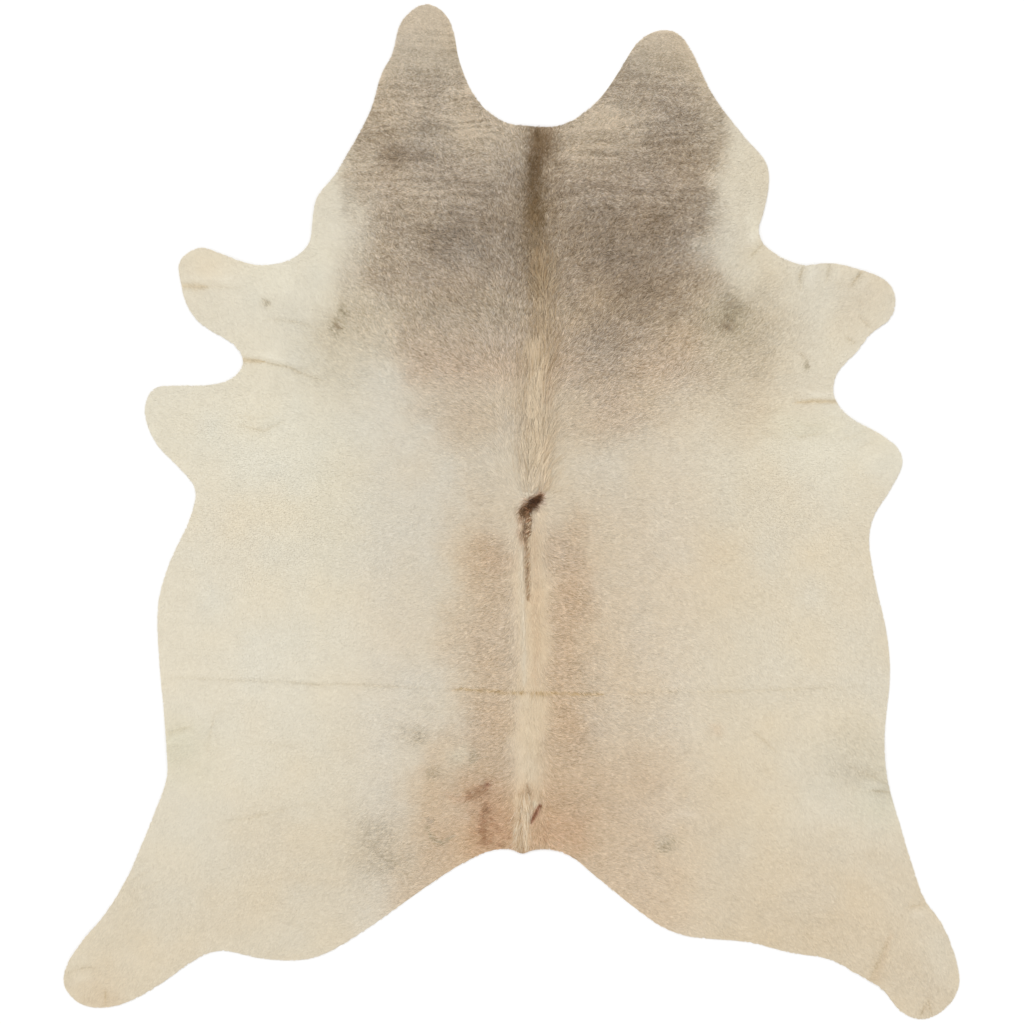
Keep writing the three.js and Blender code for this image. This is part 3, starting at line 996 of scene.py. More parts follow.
@dataclass
class LyingHide:
    """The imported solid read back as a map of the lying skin.

    Attributes:
        node: The solid.
        cell: Spacing of the map (m).
        margin: How far the map reaches past the solid (m).
        edge_step: Spacing of the outline's points (m).
        settle: How far the outline's corners are rounded, in points.
        settle_reach: How many points to each side count for that.
        inset: How far the skin stays inside the solid's edge (m).
        thickness: The skin alone, without its coat (m).
        edge_loss: Share of its thickness that the skin loses at the trimmed edge.
        edge_width: How far in from the edge it gets thinner (m).
        least_coat: The coat's least depth (m).
        waves: Height of its slight waves (mm).
        furrows: Height of the neck's wrinkles (mm).
        carry: How far heights are carried past the solid's edge, in cells.
        soften: How far they are softened, in cells.
        outline: The edge's points, across and along (m).
        maps: Values over the cells: inward, under, top and relief (m).
        low: The map's lowest corner (m).
        columns: Places of its columns (m).
        rows: Places of its rows (m).
    """

    node: bpy.types.Object
    cell: float = 5 * MM
    margin: float = 20 * MM
    edge_step: float = 4 * MM
    settle: float = 1.6
    settle_reach: int = 6
    inset: float = 1.4 * MM
    thickness: float = 2.4 * MM
    edge_loss: float = 0.25
    edge_width: float = 12 * MM
    least_coat: float = 1.2 * MM
    waves: float = 0.25
    furrows: float = 0.45
    carry: float = 8.0
    soften: float = 3.0
    outline: Array = field(init=False)
    maps: dict[str, Array] = field(init=False, default_factory=dict)
    low: Array = field(init=False)
    columns: Array = field(init=False)
    rows: Array = field(init=False)

    def __post_init__(self) -> None:
        """Reads the outline and fills the maps."""
        points, triangles = self.solid()
        self.outline = self.read_outline(points, triangles)
        self.low, high = points.min(0) - self.margin, points.max(0) + self.margin
        self.columns = np.arange(self.low[0], high[0], self.cell)
        self.rows = np.arange(self.low[1], high[1], self.cell)
        across, along = np.meshgrid(self.columns, self.rows)
        self.maps["inward"] = self.inward_distance(across, along)
        self.read_heights(points, triangles, across, along)
        self.maps["relief"] = self.relief(across / MM, along / MM)

    def solid(self) -> tuple[Array, Array]:
        """Reads the solid.

        Returns:
            Its points, each once (m), and its triangles.
        """
        mesh = self.node.data
        mesh.calc_loop_triangles()
        points = np.zeros(len(mesh.vertices) * 3)
        mesh.vertices.foreach_get("co", points)
        corners = np.zeros(len(mesh.loop_triangles) * 3, int)
        mesh.loop_triangles.foreach_get("vertices", corners)
        once, place = np.unique(points.reshape(-1, 3), axis=0, return_inverse=True)
        return once, place.reshape(-1)[corners].reshape(-1, 3)

    def read_outline(self, points: Array, triangles: Array) -> Array:
        """The trimmed edge as a smooth closed line, counter-clockwise.

        Args:
            points: The solid's points.
            triangles: Its triangles.

        Returns:
            Evenly spaced points, across and along (m).
        """
        a, b, c = (points[triangles[:, i]] for i in range(3))
        normals = np.cross(b - a, c - a)
        top = triangles[normals[:, 2] > UPWARD * np.linalg.norm(normals, axis=1)]
        runs = np.concatenate([top[:, (0, 1)], top[:, (1, 2)], top[:, (2, 0)]])
        known = set(map(tuple, runs))
        follow = {start: end for start, end in known if (end, start) not in known}
        loops = []
        while follow:
            loop = [next(iter(follow))]
            while loop[-1] in follow:
                loop.append(follow.pop(loop[-1]))
            loops.append(loop[:-1])
        ring = points[max(loops, key=len)][:, :2]
        closed = np.r_[ring, ring[:1]]
        reached = np.r_[0, np.cumsum(np.linalg.norm(closed[1:] - closed[:-1], axis=1))]
        steps = np.linspace(0, reached[-1], round(reached[-1] / self.edge_step), endpoint=False)
        even = between(steps, reached, closed)
        offsets = np.arange(-self.settle_reach, self.settle_reach + 1)
        weights = np.exp(-0.5 * (offsets / self.settle) ** 2)
        return sum(w * np.roll(even, o, axis=0) for w, o in zip(weights / weights.sum(), offsets))

    def inward_distance(self, across: Array, along: Array) -> Array:
        """How far places lie inside the outline, below zero outside it.

        Args:
            across: The map's places across (m).
            along: The map's places along (m).

        Returns:
            The distance for each place (m).
        """
        ring, after = self.outline, np.roll(self.outline, -1, axis=0)
        tree = KDTree(len(ring))
        for i, point in enumerate(ring):
            tree.insert((*point, 0), i)
        tree.balance()
        places = np.stack([across.ravel(), along.ravel()], axis=1)
        near = np.array([tree.find((*place, 0))[1] for place in places])
        away = np.full(len(places), np.inf)
        for start in (near, near - 1):
            run = after[start] - ring[start]
            offset = places - ring[start]
            reached = np.clip((offset * run).sum(1) / (run * run).sum(1), 0, 1)
            away = np.minimum(away, np.linalg.norm(offset - run * reached[:, None], axis=1))
        inside = np.zeros(across.shape, bool)
        for row, level in enumerate(self.rows):
            crossing = (ring[:, 1] > level) != (after[:, 1] > level)
            start, end = ring[crossing], after[crossing]
            share = (level - start[:, 1]) / (end[:, 1] - start[:, 1])
            cuts = np.sort(start[:, 0] + share * (end[:, 0] - start[:, 0]))
            inside[row] = np.searchsorted(cuts, self.columns) % 2 == 1
        return np.where(inside, 1, -1) * away.reshape(across.shape)

    def read_heights(self, points: Array, triangles: Array,
                     across: Array, along: Array) -> None:
        """Maps the underside and the top of the solid, carried on smoothly past its edge.

        Args:
            points: The solid's points.
            triangles: Its triangles.
            across: The map's places across (m).
            along: The map's places along (m).
        """
        tree = BVHTree.FromPolygons(points.tolist(), triangles.tolist())
        places = list(zip(across.ravel(), along.ravel()))
        for name, start in (("under", -1.0), ("top", 1.0)):
            way = Vector((0, 0, -start))
            hits = [tree.ray_cast(Vector((x, y, start)), way)[0] for x, y in places]
            heights = np.array([0.0 if hit is None else hit.z for hit in hits]).reshape(across.shape)
            known = np.array([hit is not None for hit in hits], float).reshape(across.shape)
            wide = blurred(heights * known, self.carry) / np.maximum(blurred(known, self.carry), TINY)
            filled = np.where(known > 0, heights, wide)
            self.maps[name] = blurred(filled, self.soften) / blurred(np.ones_like(filled), self.soften)

    def relief(self, across: Array, along: Array) -> Array:
        """What the skin does apart from the solid's folds: creases, neck ripples, slight waves.

        Args:
            across: Places across (mm).
            along: Places along (mm).

        Returns:
            Height at each place (m).
        """
        flat_x, flat_y = across.ravel(), along.ravel()
        height = self.waves * WAVES.at(flat_x, flat_y)
        height += self.furrows * NECK.wrinkles(flat_x, flat_y)
        for crease in CREASES:
            near, away, strength = crease.around(flat_x, flat_y)
            height[near] += crease.height * strength * bell(away / crease.half)
        return (height * MM).reshape(across.shape)

    def sample(self, name: str, across: Array, along: Array) -> Array:
        """A map's value at places between its own.

        Args:
            name: Which map.
            across: Places across (m).
            along: Places along (m).

        Returns:
            One value for each place.
        """
        values = self.maps[name]
        u = np.clip((across - self.low[0]) / self.cell, 0, len(self.columns) - LAST_CELL)
        v = np.clip((along - self.low[1]) / self.cell, 0, len(self.rows) - LAST_CELL)
        left, low = u.astype(int), v.astype(int)
        u, v = u - left, v - low
        lower = values[low, left] * (1 - u) + values[low, left + 1] * u
        upper = values[low + 1, left] * (1 - u) + values[low + 1, left + 1] * u
        return lower * (1 - v) + upper * v

    def underside(self, across: Array, along: Array) -> Array:
        """Height of the flesh side (m), never below the floor."""
        return np.maximum(self.sample("under", across, along), 0)

    def skin_top(self, across: Array, along: Array) -> Array:
        """The hair side of the skin, which is thinner at the trimmed edge.

        Args:
            across: Places across (m).
            along: Places along (m).

        Returns:
            Its height at each place (m).
        """
        thinning = 1 - self.edge_loss * ease(1 - self.sample("inward", across, along) / self.edge_width)
        relief = self.sample("relief", across, along)
        return self.underside(across, along) + self.thickness * thinning + relief

    def coat_depth(self, across: Array, along: Array) -> Array:
        """Height of the lying coat over the skin (m)."""
        whole = self.sample("top", across, along) - self.underside(across, along)
        return np.maximum(whole - self.thickness, self.least_coat)


def blurred(values: Array, reach: float) -> Array:
    """A map spread out evenly by a bell curve.

    Args:
        values: The map.
        reach: The bell's size, in cells.

    Returns:
        The softened map.
    """
    far = int(3 * reach)
    weights = np.exp(-0.5 * (np.arange(-far, far + 1) / reach) ** 2)
    weights /= weights.sum()
    for axis in (0, 1):
        values = np.apply_along_axis(np.convolve, axis, values, weights, mode="same")
    return values


@dataclass
class Comb:
    """Which way the hair lies.

    It lies outwards on both sides: rising towards the neck above the whorl in the middle of the back
    and falling towards the tail below it. On the backbone itself it runs straight up or down.

    Attributes:
        whorl_along: Where the hair parts on the backbone (mm).
        turning: Half the length over which it turns there (mm).
        widening: How much that length grows for each step outwards.
        crest: Half width of the upright hair on the backbone, below and above the whorl (mm).
        rise: Places along the hide (mm), and how steeply the hair rises outwards there (degrees).
        fall: Distances from the backbone (mm), and how steeply it falls there below the whorl (degrees).
        restless: How far the lie wanders on the sides and in the neck (degrees).
    """

    whorl_along: float = 22.0
    turning: float = 26.0
    widening: float = 0.4
    crest: Pair = (42.0, 74.0)
    rise: tuple = ((0, 120, 260, 380, 560, 660, 1070), (-5, 3, 18, 42, 34, 8, 5))
    fall: tuple = ((60, 250, 480, 800), (6, 18, 42, 50))
    restless: Pair = (16.0, 40.0)

    def heading(self, across: Array, along: Array) -> Array:
        """The way the hair points at places.

        Args:
            across: Places across (mm).
            along: Places along (mm).

        Returns:
            A unit vector, across and along, for each place.
        """
        out = across - SPINE_ACROSS
        turning = self.turning + self.widening * np.abs(out)
        above = ease((along - self.whorl_along + turning) / (2 * turning))
        slope = above * np.interp(along, *self.rise) - (1 - above) * np.interp(np.abs(out), *self.fall)
        half = self.crest[0] + above * (self.crest[1] - self.crest[0])
        upright = np.exp(-(np.abs(out / half) ** 3))
        slope = slope * (1 - upright) + 90 * (2 * above - 1) * upright
        wander = self.restless[0] * LIE_CHANGES.at(across, along)
        wander += NECK.share(across, along) * self.restless[1] * CURLS.at(across, along)
        turn = np.radians(slope + wander)
        return np.stack([np.where(out < 0, -1, 1) * np.cos(turn), np.sin(turn)], axis=1)


@dataclass
class Ribbons:
    """Flat tapered hairs or tufts as one mesh.

    Attributes:
        spine: Points from root to tip, (ribbon, point, xyz) in metres.
        side: Unit vector to the left of each ribbon, (ribbon, xyz).
        halves: Half widths, (ribbon, point); the tip has none.
        colours: sRGB shares, (ribbon, point, rgb).
        starts: How many places on the strand map a ribbon can start at.
    """

    spine: Array
    side: Array
    halves: Array
    colours: Array
    starts: int = 400

    def points(self) -> Array:
        """Both edges of each ribbon, root first, and then its tip.

        Returns:
            The points, (ribbon, point, xyz).
        """
        count, marks, _ = self.spine.shape
        offset = self.side[:, None, :] * self.halves[:, :-1, None]
        edges = np.stack([self.spine[:, :-1] + offset, self.spine[:, :-1] - offset], axis=2)
        edges = edges.reshape(count, 2 * (marks - 1), 3)
        return np.concatenate([edges, self.spine[:, -1:]], axis=1)

    def triangles(self) -> Array:
        """The ribbons' triangles, with their faces up.

        Returns:
            The corners of each, as places in the list of all points.
        """
        count, marks, _ = self.spine.shape
        pattern = []
        for step in range(marks - 2):
            first = 2 * step
            pattern += [(first, first + 1, first + 3), (first, first + 3, first + 2)]
        last = 2 * (marks - 2)
        pattern.append((last, last + 1, last + 2))
        starts = np.arange(count) * (2 * marks - 1)
        return (starts[:, None, None] + np.array(pattern)[None]).reshape(-1, 3)

    def point_colours(self) -> Array:
        """The colour of each point."""
        edges = np.repeat(self.colours[:, :-1], 2, axis=1)
        return np.concatenate([edges, self.colours[:, -1:]], axis=1).reshape(-1, 3)

    def strand_places(self, rng: Rng) -> Array:
        """Where each point lies on its ribbon: across with a random start, and from root to tip.

        Args:
            rng: Source of the random starts.

        Returns:
            One place on the strand map for each point.
        """
        count, marks, _ = self.spine.shape
        u = np.r_[np.tile((0.0, 1.0), marks - 1), 0.5]
        v = np.r_[np.repeat(np.arange(marks - 1), 2), marks - 1] / (marks - 1)
        start = rng.integers(0, self.starts, count)
        places = np.stack(np.broadcast_arrays(u[None] + start[:, None], v[None]), axis=2)
        return places.reshape(-1, 2)

    def piece(self, name: str, material: bpy.types.Material, rng: Rng) -> bpy.types.Object:
        """The ribbons as an object, with their colours and both of their maps.

        Args:
            name: The piece's name.
            material: Its finish.
            rng: Source of the random starts.

        Returns:
            The new object.
        """
        points = self.points().reshape(-1, 3)
        triangles = self.triangles()
        made = mesh_piece(name, points, triangles, [material])
        paint(made, self.point_colours())
        plan_map(made, points, triangles)
        add_map(made, STRAND_MAP, self.strand_places(rng)[triangles.ravel()])
        return made


def mesh_piece(name: str, points: Array, triangles: Array,
               materials: list[bpy.types.Material]) -> bpy.types.Object:
    """A new object from points and triangles.

    Args:
        name: The piece's name.
        points: Its points (m).
        triangles: The corners of its triangles.
        materials: Its material slots.

    Returns:
        The new object, linked to the scene.
    """
    mesh = bpy.data.meshes.new(name)
    mesh.vertices.add(len(points))
    mesh.vertices.foreach_set("co", points.astype(np.float32).ravel())
    mesh.loops.add(triangles.size)
    mesh.loops.foreach_set("vertex_index", triangles.astype(np.int32).ravel())
    mesh.polygons.add(len(triangles))
    mesh.polygons.foreach_set("loop_start", np.arange(0, triangles.size, 3, dtype=np.int32))
    for material in materials:
        mesh.materials.append(material)
    mesh.update(calc_edges=True)
    return placed(name, mesh)


def placed(name: str, data: bpy.types.ID) -> bpy.types.Object:
    """A new object.

    Args:
        name: Its name.
        data: Its mesh, camera or light.

    Returns:
        The object, linked to the scene.
    """
    made = bpy.data.objects.new(name, data)
    bpy.context.scene.collection.objects.link(made)
    return made


def paint(piece: bpy.types.Object, colours: Array) -> None:
    """Gives each point of a piece its coat colour.

    Args:
        piece: The piece.
        colours: sRGB shares, one row for each point.
    """
    layer = piece.data.attributes.new(COAT_LAYER, "FLOAT_COLOR", "POINT")
    rgba = np.ones((len(colours), 4), np.float32)
    rgba[:, :3] = to_linear(colours)
    layer.data.foreach_set("color", rgba.ravel())


def add_map(piece: bpy.types.Object, name: str, places: Array) -> None:
    """Adds a UV map.

    Args:
        piece: The piece.
        name: The map's name.
        places: One place for each face corner.
    """
    layer = piece.data.uv_layers.new(name=name)
    layer.data.foreach_set("uv", places.astype(np.float32).ravel())


def plan_map(piece: bpy.types.Object, points: Array, triangles: Array) -> None:
    """Maps a piece as seen from above, filling the square.

    Args:
        piece: The piece.
        points: Its points (m).
        triangles: The corners of its triangles.
    """
    low, high = points[:, :2].min(0), points[:, :2].max(0)
    flat = MAP_MARGIN + (1 - 2 * MAP_MARGIN) * (points[:, :2] - low) / (high - low)
    add_map(piece, BAKE_MAP, flat[triangles.ravel()])


@dataclass(frozen=True)
class Trait:
    """A measure of the tufts that changes over the hide.

    Attributes:
        back: Its value on the back.
        neck: What it gains in the neck.
        sides: What it gains far out on the sides.
    """

    back: float
    neck: float = 0.0
    sides: float = 0.0

    def at(self, coarse: Array, smooth: Array) -> Array:
        """Its values, from how coarse and how smooth the coat is at each place."""
        return self.back + self.neck * coarse + self.sides * smooth


@dataclass
class Coat:
    """The lying coat, thick enough to hide the skin, as tufts in five pieces.

    Attributes:
        hide: The map of the lying skin.
        markings: Its colours.
        comb: Which way it lies.
        spacing: Distance between tuft roots in the neck and on the back (m).
        thinning: Share of them that is left out far out on the sides.
        half_width: Half the width of a tuft at its root (m).
        sections: The names of the pieces, from the tail to the neck.
        overhang: How far a tip may reach past the solid's edge (m).
        contrast: Red shares of the coat, and how much tufts of those tones differ.
        far_out_painted_shade: What share of each tone is left far out: painted shade that makes up for the
            flat tufts there shading each other less.
        smooth_from: Where the coat gets smooth, out from the backbone, and over what width (mm).
        length: A tuft's length apart from the coat's depth (mm).
        lengths: Its shortest and longest share.
        flattened: Share that a tuft loses in a crease.
        stray: How far it strays from the coat's lie (degrees).
        sunk: Lowest and highest root, as shares of the coat's depth.
        tip: The tip's height, as such a share.
        tip_stray: How much that differs.
        roll: How far a tuft is rolled to one side.
        breadth: What its half width is multiplied by.
        breadths: Its narrowest and widest share.
        taken: Where along a tuft its colour is taken from the coat.
        even: Share of the contrast that is lost far out.
        calmer: Share that is lost towards each end, where, and over what length (mm).
        singles: Darkest and lightest tuft, in usual differences.
        clumped: How much neighbouring tufts differ together.
        warm: How much they differ in warmth, and what that does to red, green and blue.
        tip_painted_light: How much brighter a tip is painted than its root, as painted light on the top of
            the coat.
    """

    hide: LyingHide
    markings: Markings
    comb: Comb
    spacing: float = 1.5 * MM
    thinning: float = 0.48
    half_width: float = 0.8 * MM
    sections: tuple = ("rump", "loin", "barrel", "withers", "neck")
    overhang: float = 0.8 * MM
    contrast: tuple = ((0.40, 0.62, 0.70, 0.76, 0.79, 0.82, 0.84, 0.86, 0.90),
                       (0.080, 0.104, 0.094, 0.078, 0.060, 0.043, 0.031, 0.016, 0.007))
    far_out_painted_shade: tuple = (0.986, 0.986, 0.974)
    smooth_from: Pair = (280.0, 160.0)
    length: Trait = Trait(5.8, -2.6, 1.6)
    lengths: Pair = (0.75, 1.2)
    flattened: float = 0.5
    stray: Trait = Trait(16, 10)
    sunk: Pair = (0.05, 0.3)
    tip: float = 0.65
    tip_stray: Trait = Trait(0.18, 0.12, -0.10)
    roll: Trait = Trait(0.07, 0.08, -0.05)
    breadth: Trait = Trait(1, 0, 0.75)
    breadths: Pair = (0.75, 1.25)
    taken: float = 0.45
    even: float = 0.45
    calmer: tuple = ((0.3, (880, 80)), (0.2, (-400, -150)))
    singles: Pair = (-2.2, 1.5)
    clumped: float = 0.5
    warm: tuple = (0.1, (1.0, 0.1, -1.2))
    tip_painted_light: float = 0.8

    def roots(self, rng: Rng) -> tuple[Array, Array]:
        """Evenly strewn root places on the skin, ordered from the tail to the neck.

        Args:
            rng: Source of the random offsets.

        Returns:
            Places across and along (m).
        """
        columns = np.arange(self.hide.columns[0], self.hide.columns[-1], self.spacing)
        rows = np.arange(self.hide.rows[0], self.hide.rows[-1], self.spacing)
        across, along = (grid.ravel() for grid in np.meshgrid(columns, rows))
        across = across + rng.uniform(-0.5, 0.5, across.shape) * self.spacing
        along = along + rng.uniform(-0.5, 0.5, along.shape) * self.spacing
        kept = self.hide.sample("inward", across, along) > self.hide.inset
        kept &= rng.uniform(0, 1, across.shape) > self.thinning * self.far_out(across)
        return across[kept], along[kept]

    def far_out(self, across: Array) -> Array:
        """1 far out on the sides, where the coat is smooth and short, and 0 on the back."""
        return rising(np.abs(across / MM - SPINE_ACROSS), self.smooth_from)

    def tufts(self, across: Array, along: Array, rng: Rng) -> Ribbons:
        """The tufts that grow at these roots.

        Args:
            across: Root places across (m).
            along: Root places along (m).
            rng: Source of their differences.

        Returns:
            The tufts.
        """
        count = len(across)
        places = across / MM, along / MM
        kind = NECK.share(*places), self.far_out(across)
        depth = self.hide.coat_depth(across, along)
        length = (self.length.at(*kind) * MM + depth) * rng.uniform(*self.lengths, count)
        length *= 1 - self.flattened * crease_share(*places)
        stray = np.radians(rng.normal(0, 1, count) * self.stray.at(*kind))
        heading = turned(self.comb.heading(*places), stray)
        inward = self.hide.sample("inward", across, along)
        reach_in = self.hide.sample("inward", across + heading[:, 0] * length, along + heading[:, 1] * length)
        loss = np.maximum(inward - reach_in, TINY)
        length = np.where(reach_in < -self.overhang, length * (inward + self.overhang) / loss, length)
        root = np.stack([across, along, self.hide.skin_top(across, along)], axis=1)
        root[:, 2] += rng.uniform(*self.sunk, count) * depth
        tip = root.copy()
        tip[:, :2] += heading * length[:, None]
        spread = rng.uniform(-1, 1, count) * self.tip_stray.at(*kind)
        tip[:, 2] = self.hide.skin_top(tip[:, 0], tip[:, 1]) + (self.tip + spread) * depth
        roll = rng.normal(0, 1, count) * self.roll.at(*kind)
        side = np.stack([-heading[:, 1], heading[:, 0], roll], axis=1)
        halves = np.zeros((count, 2))
        halves[:, 0] = self.half_width * rng.uniform(*self.breadths, count) * self.breadth.at(*kind)
        middle = root + self.taken * (tip - root)
        colours = self.tuft_colours(middle[:, 0] / MM, middle[:, 1] / MM, rng)
        return Ribbons(np.stack([root, tip], axis=1), side, halves, colours)

    def tuft_colours(self, across: Array, along: Array, rng: Rng) -> Array:
        """Each tuft's colour at its root and its tip.

        Args:
            across: Places across on the tufts (mm).
            along: Places along on the tufts (mm).
            rng: Source of their differences.

        Returns:
            sRGB shares, (tuft, end, rgb).
        """
        coat = self.markings.colour(across, along)
        smooth = self.far_out(across * MM)
        contrast = np.interp(coat[:, 0], *self.contrast) * (1 - self.even * smooth)
        left = 1
        for loss, start in self.calmer:
            left = left - loss * rising(along, start)
        contrast *= left
        # Painted shade far out, making up for the flat tufts there shading each other less.
        coat = coat * (1 - smooth[:, None] * (1 - np.array(self.far_out_painted_shade)))
        single = np.clip(rng.normal(0, 1, len(across)), *self.singles)
        value = contrast * (single + self.clumped * CLUMPS.at(across, along))
        warmth = contrast * rng.normal(0, self.warm[0], len(across))
        tint = value[:, None] + warmth[:, None] * np.array(self.warm[1])
        root = coat + tint
        # Painted light on each tuft's tip, brighter than its root.
        tip = coat + tint + self.tip_painted_light * contrast[:, None]
        return np.stack([root, tip], axis=1)

    def build(self, material: bpy.types.Material) -> list[bpy.types.Object]:
        """Builds the five pieces.

        Args:
            material: The coat's finish.

        Returns:
            The pieces, from the tail to the neck.
        """
        rng = np.random.default_rng(SEED)
        across, along = self.roots(rng)
        pieces = []
        shares = np.array_split(np.arange(len(across)), len(self.sections))
        for section, share in zip(self.sections, shares):
            tufts = self.tufts(across[share], along[share], rng)
            pieces.append(tufts.piece(f"coat_{section}", material, rng))
        return pieces


def turned(ways: Array, angles: Array) -> Array:
    """Vectors turned counter-clockwise.

    Args:
        ways: Vectors across and along.
        angles: How far each is turned (radians).

    Returns:
        The turned vectors.
    """
    cosine, sine = np.cos(angles), np.sin(angles)
    x, y = ways.T
    return np.stack([x * cosine - y * sine, x * sine + y * cosine], axis=1)


def leftwards(ways: Array) -> Array:
    """Vectors across and along, each turned a quarter round to its left."""
    return np.stack([-ways[:, 1], ways[:, 0]], axis=1)


@dataclass(frozen=True)
class Lock:
    """A run of longer hair on the backbone.

    Attributes:
        name: Where it is.
        path: The line its roots follow (mm).
        spread: How far the roots stray from the line (mm).
        count: How many strands it has.
        length: Shortest and longest strand (mm).
        width: Half width of a strand at its root (mm).
        tones: The tones its strands have.
        own: How far a strand goes over from the coat's colour to its own tone.
        lean: How far the strands turn away from the coat's own lie (degrees).
        stray: How much that varies (degrees).
        bend: How far a strand curves from root to tip (degrees).
        lift: How high the tips stand over the coat (mm).
    """

    name: str
    path: tuple
    spread: float
    count: int
    length: Pair
    width: float
    tones: tuple
    own: float = 0.35
    lean: float = 0.0
    stray: float = 8.0
    bend: float = 0.0
    lift: float = 0.6


LOCKS = (
    Lock("mane, top", ((66, 812), (56, 760)), 34, 320, (7, 12), 0.6,
         (Tone.PEAT, Tone.OLIVE, Tone.LOAM), stray=34, bend=30),
    Lock("mane, dark", ((62, 790), (50, 700), (46, 610)), 18, 620, (7, 13), 0.6,
         (Tone.UMBER, Tone.LOAM, Tone.OLIVE, Tone.PEAT), stray=34, bend=-30),
    Lock("mane, low", ((48, 620), (53, 560), (55, 490)), 22, 480, (8, 14), 0.6,
         (Tone.PEAT, Tone.OLIVE, Tone.DUN, Tone.HONEY), stray=26),
    Lock("withers crest", ((64, 540), (64, 420), (56, 300)), 32, 900, (16, 30), 0.6,
         (Tone.HONEY, Tone.SAND, Tone.OLIVE, Tone.TAN, Tone.DUN), 0.5, stray=13),
    Lock("back crest", ((54, 340), (50, 200), (50, 38)), 33, 1300, (18, 40), 0.6,
         (Tone.BLUSH, Tone.HONEY, Tone.TAN, Tone.FAWN, Tone.MOLE, Tone.WHEAT), 0.5, stray=8),
    Lock("back crest, dark line", ((39, 285), (39, 150)), 2, 46, (12, 22), 0.45,
         (Tone.HONEY, Tone.MOLE), 0.7, stray=6),
    Lock("back crest, right line", ((66, 262), (66, 206)), 2, 24, (12, 20), 0.45,
         (Tone.HONEY, Tone.MOLE), 0.7, stray=6),
    Lock("loin, pale", ((46, -40), (49, -300), (42, -600)), 22, 800, (9, 18), 0.5,
         (Tone.WHEAT, Tone.BLUSH, Tone.SAND), stray=12),
    Lock("loin ridge", ((21, -30), (23, -140), (28, -280)), 3.5, 190, (10, 20), 0.5,
         (Tone.BLUSH, Tone.IVORY), 0.4, stray=8, lift=0.9),
    Lock("whorl", ((54, 27), (44, 18), (35, 4)), 5, 130, (4, 8), 0.5,
         (Tone.JET, Tone.UMBER, Tone.SCAR, Tone.UMBER), 0.5, stray=26, lift=1.0),
    Lock("whorl, left end", ((38, 8), (34, -8)), 4, 60, (8, 14), 0.5,
         (Tone.UMBER, Tone.PEAT, Tone.RUST), 0.7, lean=-75, stray=12, lift=0.9),
    Lock("whorl, tail", ((39, -8), (38, -50)), 4, 130, (8, 14), 0.6,
         (Tone.UMBER, Tone.PEAT, Tone.RUST, Tone.BLUSH), 0.75, lean=-58, stray=12, lift=0.8),
    Lock("whorl, thin line", ((36, -45), (37, -110), (38, -175)), 3.5, 150, (8, 14), 0.5,
         (Tone.PEAT, Tone.RUST, Tone.HONEY, Tone.WHEAT), 0.6, lean=-34, stray=10, lift=0.8),
    Lock("rump, rust", ((-90, -598), (-48, -584)), 13, 70, (8, 16), 0.5,
         (Tone.SEPIA, Tone.RUST, Tone.CLAY), 0.5, lean=10, stray=12),
    Lock("rump, streaks", ((-52, -610), (-54, -700)), 7, 90, (7, 14), 0.5,
         (Tone.SEPIA, Tone.RUST, Tone.CLAY), 0.35, lean=20, stray=12),
    Lock("tail", ((30, -590), (24, -650), (20, -716)), 14, 420, (14, 28), 0.55,
         (Tone.IVORY, Tone.WHEAT, Tone.ROSE, Tone.LINEN, Tone.HONEY, Tone.WHEAT), 0.6, stray=6),
)


